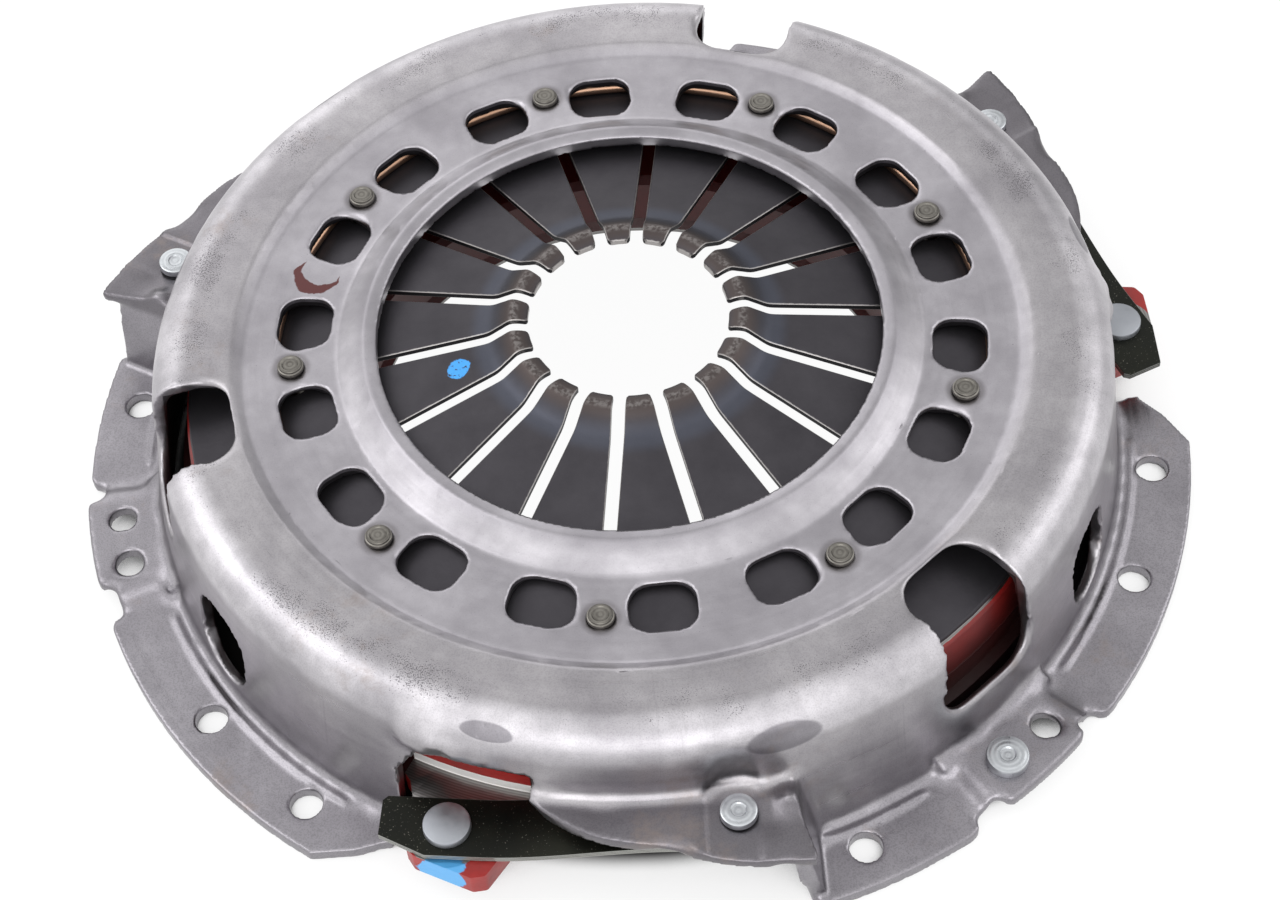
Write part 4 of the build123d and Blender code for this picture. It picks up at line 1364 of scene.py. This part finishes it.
    def sector(self) -> bpy.types.Mesh:
        """Meshes one finger with its share of the cone.

        Returns:
            The mesh, with the attribute edge_mm for the distance to the nearest free edge.
        """
        bm = bmesh.new()
        bm.verts.layers.float.new("edge_mm")
        loops = [(r, self.ring_of(bm, r)) for r in self.stations()]
        half = len(loops[0][1]) // 2
        walls = (half - 2, half - 1, 2 * half - 2, 2 * half - 1)
        for (r, low), (_, high) in zip(loops, loops[1:]):
            for i in range(2 * half):
                if i in walls and r >= self.slot_end - 0.01:
                    continue
                j = (i + 1) % (2 * half)
                bm.faces.new((low[i], high[i], high[j], low[j]))
        for _, ring in (loops[0], loops[-1]):
            for i in range(half - 2):
                bm.faces.new((ring[i], ring[i + 1], ring[-3 - i], ring[-2 - i]))
        tip = loops[0][1]
        bm.faces.new((tip[half - 2], tip[half - 1], tip[half]))
        bm.faces.new((tip[-2], tip[-1], tip[0]))
        bmesh.ops.recalc_face_normals(bm, faces=bm.faces)
        return plain_mesh(bm, "finger")

    def build(self, finish: bpy.types.Material) -> bpy.types.Object:
        """Repeats the finger round the axis and closes the cone.

        Args:
            finish: the spring's material.

        Returns:
            The spring piece.
        """
        spring = polar_pattern("finger_spring", self.sector(), finish, 0.0, self.fingers,
                               FIRST_RIVET + 180 / self.fingers)
        bm = bmesh.new()
        bm.from_mesh(spring.data)
        bmesh.ops.recalc_face_normals(bm, faces=bm.faces)
        shade_by_angle(bm, 30)
        bm.to_mesh(spring.data)
        bm.free()
        return spring


@dataclass
class RivetSet:
    """Equal rivets on one circle, repeated by Geometry Nodes. Millimetres and degrees."""

    name: str
    nodes: tuple[str, ...]
    body: Side
    radius: float
    start: float
    slot: str
    profile: tuple[Span, ...]
    segments: int = 40

    def build(self, finish: bpy.types.Material, count: int) -> None:
        """Turns one rivet and sets the copies.

        Args:
            finish: material of the rivets.
            count: number of rivets.
        """
        one = turned_mesh(f"{self.name}_one", self.profile, self.segments)
        made = polar_pattern(self.name, one, finish, self.radius * MM, count, self.start)
        stand_for(made, self.slot, *self.nodes)
        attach(made, self.body.value)


@dataclass
class StrapPack:
    """Three spring leaves from a lug of the plate up to a flap of the cover. Millimetres."""

    sector: int
    width: float = 20.0
    leaf: float = 0.8
    low: float = 18.6
    high: float = 33.0
    leaves: int = 3
    flat: float = 10.0
    lead: float = 21.0
    tail: float = 10.8
    taper: Span = (-6.0, 0.42)
    nose: float = -19.5
    corner: float = 3.0
    bevel: Span = (0.2, 0.15)

    def ends(self) -> tuple[Vector, Vector]:
        """Rivet positions, lug first."""
        turn = 360 * self.sector / SECTORS
        return (Vector((*polar(LUG_CIRCLE, LUG_ANGLE + turn), self.low)),
                Vector((*polar(FLAP_CIRCLE, FLAP_ANGLE + turn), self.high)))

    def sides(self, s: float, length: float) -> Span:
        """Outer and inner edge of a leaf.

        Args:
            s: distance from the lug rivet.
            length: distance between the rivets.

        Returns:
            Their distances from the line through the rivets.
        """
        over = max(0.0, s - (length + self.tail - self.corner))
        outer = self.width / 2 - over - max(0.0, self.taper[0] - s) * self.taper[1]
        inner = self.width / 2 - over - max(0.0, self.nose - s)
        return outer, inner

    def section(self, s: float, length: float, number: int) -> list[Span]:
        """Outline of a leaf across its length.

        Args:
            s: distance from the lug rivet.
            length: distance between the rivets.
            number: which leaf, from below.

        Returns:
            (offset, height) points round the leaf, five on top and five below.
        """
        t = min(1.0, max(0.0, (s - self.flat) / (length - 2 * self.flat)))
        start = self.low + number * self.leaf
        end = self.high - (self.leaves - number) * self.leaf
        z = start + (end - start) * t * t * (3 - 2 * t)
        outer, inner = self.sides(s, length)
        width, sink = self.bevel
        across = ((-inner, sink), (width - inner, 0.0), (0.0, 0.0), (outer - width, 0.0), (outer, sink))
        return [(o, z + self.leaf - d) for o, d in across] + [(o, z + d) for o, d in reversed(across)]

    def strip(self, number: int) -> bpy.types.Mesh:
        """Meshes one leaf, with the attribute edge_mm at 0 along its sheared edges.

        Args:
            number: which leaf, from below.

        Returns:
            The mesh.
        """
        a, b = self.ends()
        plan = Vector((b.x - a.x, b.y - a.y, 0))
        length = plan.length
        run = plan.normalized()
        out = run.cross(Vector((0, 0, 1)))
        end = length + self.tail
        stops = {-self.lead, self.nose, -13.0, self.taper[0], end, end - 1.5, end - self.corner}
        bm = bmesh.new()
        layer = bm.verts.layers.float.new("edge_mm")
        loops = []
        for s in sorted(stops | set(np.arange(-3.0, end - 4, 3.0))):
            ring = self.section(s, length, number)
            edges = (ring[0][0], ring[4][0])
            middle = Vector((a.x, a.y, 0)) + run * s
            loops.append([bm.verts.new((middle + out * o + Vector((0, 0, h))) * MM) for o, h in ring])
            for v, (o, _) in zip(loops[-1], ring):
                v[layer] = 0.0 if o in edges else 1.0
        for low, high in zip(loops, loops[1:]):
            for i in range(len(low)):
                k = (i + 1) % len(low)
                bm.faces.new((low[i], low[k], high[k], high[i]))
        bm.faces.new(loops[0])
        bm.faces.new(loops[-1])
        bmesh.ops.recalc_face_normals(bm, faces=bm.faces)
        shade_by_angle(bm, 30)
        return plain_mesh(bm, f"strap_{self.sector + 1}_leaf_{number + 1}_strip")

    def build(self, finish: bpy.types.Material) -> None:
        """Builds the leaves and hangs each between cover and plate.

        Args:
            finish: material of the strip.
        """
        lug, flap = self.ends()
        for number in range(self.leaves):
            node = f"strap_{self.sector + 1}_leaf_{number + 1}"
            piece = new_object(f"{node}_strip", self.strip(number))
            piece.data.materials.append(finish)
            stand_for(piece, "blued_strap", node)
            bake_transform(piece, Side.COVER.value, Side.PLATE.value, start=flap * MM, end=lug * MM)


@dataclass
class Studio:
    """Pale floor, soft lamps and the camera. Metres."""

    eye: Point = (0.66 * MM, -552.6 * MM, 735.8 * MM)
    right: Point = (0.99735, -0.05831, -0.04356)
    up: Point = (0.07278, 0.79902, 0.59688)
    ahead: Point = (0.0, 0.59846, -0.80115)
    lens: float = 74.29
    # radius within which the paper is painted brighter
    bore: float = 0.100
    reach: float = 0.050
    # radii over which the painted shadow under the part ends
    under: Span = (0.159, 0.167)
    glow_from: Span = (0.10, 0.36)
    pale_from: Span = (0.02, 0.25)
    glow_share: Span = (0.22, 0.74)
    floor_half: float = 6.0
    floor_gap: float = 0.3 * MM
    paper: str = "F2F2F2"
    paper_shade: str = "1C1A1A"
    lamps: tuple[tuple[str, Point, float, float], ...] = (
        ("key", (-1.3, 0.2, 1.5), 1.2, 8.0),
        ("back", (-0.3, 1.7, 0.85), 1.5, 6.0),
        ("front", (-0.2, -1.7, 1.0), 1.4, 9.5),
        ("fill", (1.4, 0.3, 1.1), 1.1, 5.0),
    )
    aim: Point = (0.0, 0.0, 0.03)
    sky_from: Point = (-0.05, -0.8, 0.6)
    sky_levels: tuple[float, float, float, float] = (-0.6, 1.0, 0.66, 1.45)
    window_from: Point = (-0.80, 0.58, 0.15)
    window: Fade = (0.55, 0.98, 0.5)

    def build(self) -> None:
        """Sets camera, floor, lamps, world and view."""
        scene = bpy.context.scene
        scene.camera = self.camera()
        scene.collection.objects.link(scene.camera)
        bm = bmesh.new()
        bmesh.ops.create_grid(bm, x_segments=1, y_segments=1, size=self.floor_half)
        floor = new_object("floor", plain_mesh(bm, "floor"))
        floor.location.z = -self.floor_gap
        floor.data.materials.append(self.floor_material())
        for name, place, size, power in self.lamps:
            data = bpy.data.lights.new(name, "AREA")
            data.size = size
            data.energy = power
            lamp = bpy.data.objects.new(name, data)
            lamp.location = place
            lamp.rotation_euler = (Vector(self.aim) - Vector(place)).to_track_quat("-Z", "Y").to_euler()
            scene.collection.objects.link(lamp)
        scene.world = self.sky()
        scene.view_settings.view_transform = "Standard"

    def camera(self) -> bpy.types.Object:
        """Makes the camera.

        Returns:
            The camera.
        """
        camera = bpy.data.objects.new("camera", bpy.data.cameras.new("camera"))
        right, up, ahead = (Vector(axis).normalized() for axis in (self.right, self.up, self.ahead))
        rows = [(right[i], up[i], -ahead[i], self.eye[i]) for i in range(3)]
        camera.matrix_world = Matrix(rows + [(0, 0, 0, 1)])
        camera.data.lens = self.lens
        camera.data.sensor_width = 36.0
        camera.data.clip_start = 0.01
        return camera

    def sky(self) -> bpy.types.World:
        """Makes the world: brighter towards the front, with a soft window at the back left.

        Returns:
            The world.
        """
        sheet = Sheet(bpy.data.worlds.new("studio"), "Generated")
        put = sheet.put
        front = put(Kind.DOT, sheet.where, self.sky_from)
        level = put(Kind.RANGE, front, *self.sky_levels, interpolation_type="SMOOTHSTEP")
        window = put(Kind.FADE, put(Kind.DOT, sheet.where, self.window_from), *self.window)
        level = put(Kind.ADD, window, level)
        return sheet.end(put(Kind.SKY, linear("FFFFFF"), level), "ShaderNodeOutputWorld")

    def floor_material(self) -> bpy.types.Material:
        """Makes white paper that keeps the shadow, with painted light and shadow: it glows more within the
        bore, and darkens where the part stands close over it.

        Returns:
            The material.
        """
        sheet = Sheet(bpy.data.materials.new("paper"))
        put = sheet.put
        away = put(Kind.LENGTH, sheet.where)
        # painted light: within the bore radius the paper glows more and keeps no shadow
        inner = put(Kind.LESS, away, self.bore)
        # painted shadow: near the part, by ambient occlusion, and inward of the radius under it, the paper
        # darkens and stops glowing
        near = put(Kind.SHADOWED, self.reach)
        clear = put(Kind.FADE, away, *self.under)
        bright, pale = (
            put(Kind.MAXIMUM, inner, put(Kind.MULTIPLY, clear, put(Kind.FADE, near, *levels)))
            for levels in (self.glow_from, self.pale_from)
        )
        paper = put(Kind.PAPER, put(Kind.MIX, pale, linear(self.paper_shade), linear(self.paper)))
        path = add(sheet.tree, "ShaderNodeLightPath").outputs
        seen = put(Kind.MULTIPLY, put(Kind.MAXIMUM, path["Is Camera Ray"], path["Is Glossy Ray"]), bright)
        share = put(Kind.MULTIPLY, seen, put(Kind.MULTIPLY_ADD, inner, *self.glow_share))
        return sheet.end(put(Kind.BLEND, share, paper, put(Kind.GLOW, linear("FFFFFF"), 1.0)))


@dataclass
class ClutchCoverAssembly:
    """Everything of the part, in the order it is put together."""

    cover: PressedCover = field(default_factory=PressedCover)
    spring: DiaphragmSpring = field(default_factory=DiaphragmSpring)
    fulcrum_height: float = 51.3 * MM
    flattened: float = 0.403
    lug_root: float = 160.0 * MM
    lug_rim: float = 174.0 * MM
    lug_round: float = 2.4 * MM

    def build(self) -> None:
        """Builds and dresses every piece."""
        cover = stand_for(self.cover.build(PressedSteel().build()), "pressed_steel", "cover")
        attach(cover, Side.COVER.value)
        spring = stand_for(self.spring.build(SpringSteel().build()), "spring_steel", "diaphragm_spring")
        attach(spring, Side.COVER.value)
        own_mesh(spring)
        wire = DrawnWire().build()
        for node in ("fulcrum_ring_upper", "fulcrum_ring_lower"):
            ring = merged_copy(node, f"{node}_wire")
            ring.data.materials.append(wire)
            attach(stand_for(ring, "wire", node), Side.COVER.value)
        plate = merged_copy("pressure_plate", "plate_casting")
        self.soften_lugs(plate.data)
        plate.data.materials.append(PaintedCasting().build())
        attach(stand_for(plate, "cast_iron", "pressure_plate"), Side.PLATE.value)
        strip = BlackedStrap().build()
        for sector in range(SECTORS):
            StrapPack(sector).build(strip)
        self.rivets()

    def soften_lugs(self, mesh: bpy.types.Mesh) -> None:
        """Rounds the outer corners and edges of the cast lugs.

        Args:
            mesh: the plate's merged mesh, changed in place.
        """
        bm = bmesh.new()
        bm.from_mesh(mesh)

        def rough_cast(edge: bmesh.types.BMEdge) -> bool:
            """True for a sharp edge at the outer end of a lug."""
            radii = [v.co.xy.length for v in edge.verts]
            at_rim = min(radii) > self.lug_root and max(radii) > self.lug_rim
            return at_rim and len(edge.link_faces) == 2 and edge.calc_face_angle(0) > math.radians(25)

        corners = [edge for edge in bm.edges if rough_cast(edge)]
        bmesh.ops.bevel(bm, geom=corners, offset=self.lug_round, segments=3, profile=0.5, affect="EDGES",
                        clamp_overlap=True)
        bm.to_mesh(mesh)
        bm.free()

    def rivets(self) -> None:
        """Sets the four kinds of rivet."""
        dull = TurnedRivet("rivet_steel", "85827C", "53504C", 1.3).build()
        zinc = TurnedRivet("zinc_plate", "C9CCCF", "9C9FA3", 1.6, 0.3).build()
        flat_zinc = TurnedRivet("zinc_plate_flat", "A4A7AC", "8C8F95", 40.0, 0.5).build()
        numbers = range(1, SECTORS + 1)
        RivetSet(
            "fulcrum_rivet_set", ("fulcrum_rivets",), Side.COVER, RIVET_CIRCLE, FIRST_RIVET, "rivet_steel",
            ((0, 42.5), (7.6, 42.5), (8.4, 43.3), (8.4, 45.69), (3.7, 45.69), (3.7, 56.5), (3.25, 56.5),
             (3.25, 61.0), (4.35, 61.0), (4.4, 61.1), (4.4, 62.0), (4.25, 62.3), (3.85, 62.5), (3.75, 62.95),
             (3.5, 63.2), (2.8, 63.2), (2.45, 62.9), (0, 62.85)),
        ).build(dull, RIVETS)
        RivetSet(
            "strap_lug_rivet_set", tuple(f"strap_lug_rivet_{k}" for k in numbers), Side.PLATE,
            LUG_CIRCLE, LUG_ANGLE, "zinc_plated",
            ((0, 9.8), (6.6, 9.8), (7.2, 10.4), (7.2, 12.6), (4.55, 12.6), (4.55, 21.0), (7.4, 21.0),
             (7.5, 21.1), (7.5, 22.9), (7.3, 23.3), (6.9, 23.5), (0, 23.5)),
        ).build(flat_zinc, SECTORS)
        RivetSet(
            "strap_cover_rivet_set", tuple(f"strap_cover_rivet_{k}" for k in numbers), Side.COVER,
            FLAP_CIRCLE, FLAP_ANGLE, "zinc_plated",
            ((0, 28.0), (5.4, 28.0), (6.0, 28.6), (6.0, 30.6), (3.8, 30.6), (3.8, 37.5), (5.7, 37.5),
             (5.8, 37.6), (5.8, 39.2), (5.6, 39.7), (5.1, 39.9), (2.5, 39.9), (2.1, 39.5), (0, 39.45)),
        ).build(zinc, SECTORS)
        RivetSet(
            "balance_rivet_set", ("balance_rivet",), Side.COVER, BALANCE_CIRCLE, BALANCE_ANGLE, "zinc_plated",
            ((0, 2.9), (5.9, 2.9), (6.4, 3.4), (6.4, 5.1), (4.6, 5.1), (4.6, 9.6), (6.75, 9.6), (6.85, 9.7),
             (6.85, 12.3), (6.6, 12.9), (6.1, 13.1), (2.7, 13.1), (2.2, 12.6), (0, 12.55)),
        ).build(zinc, 1)


def main() -> None:
    """Builds the scene."""
    logging.basicConfig(level=logging.INFO, format="%(message)s")
    Studio().build()
    ClutchCoverAssembly().build()


if __name__ == "__main__":
    main()
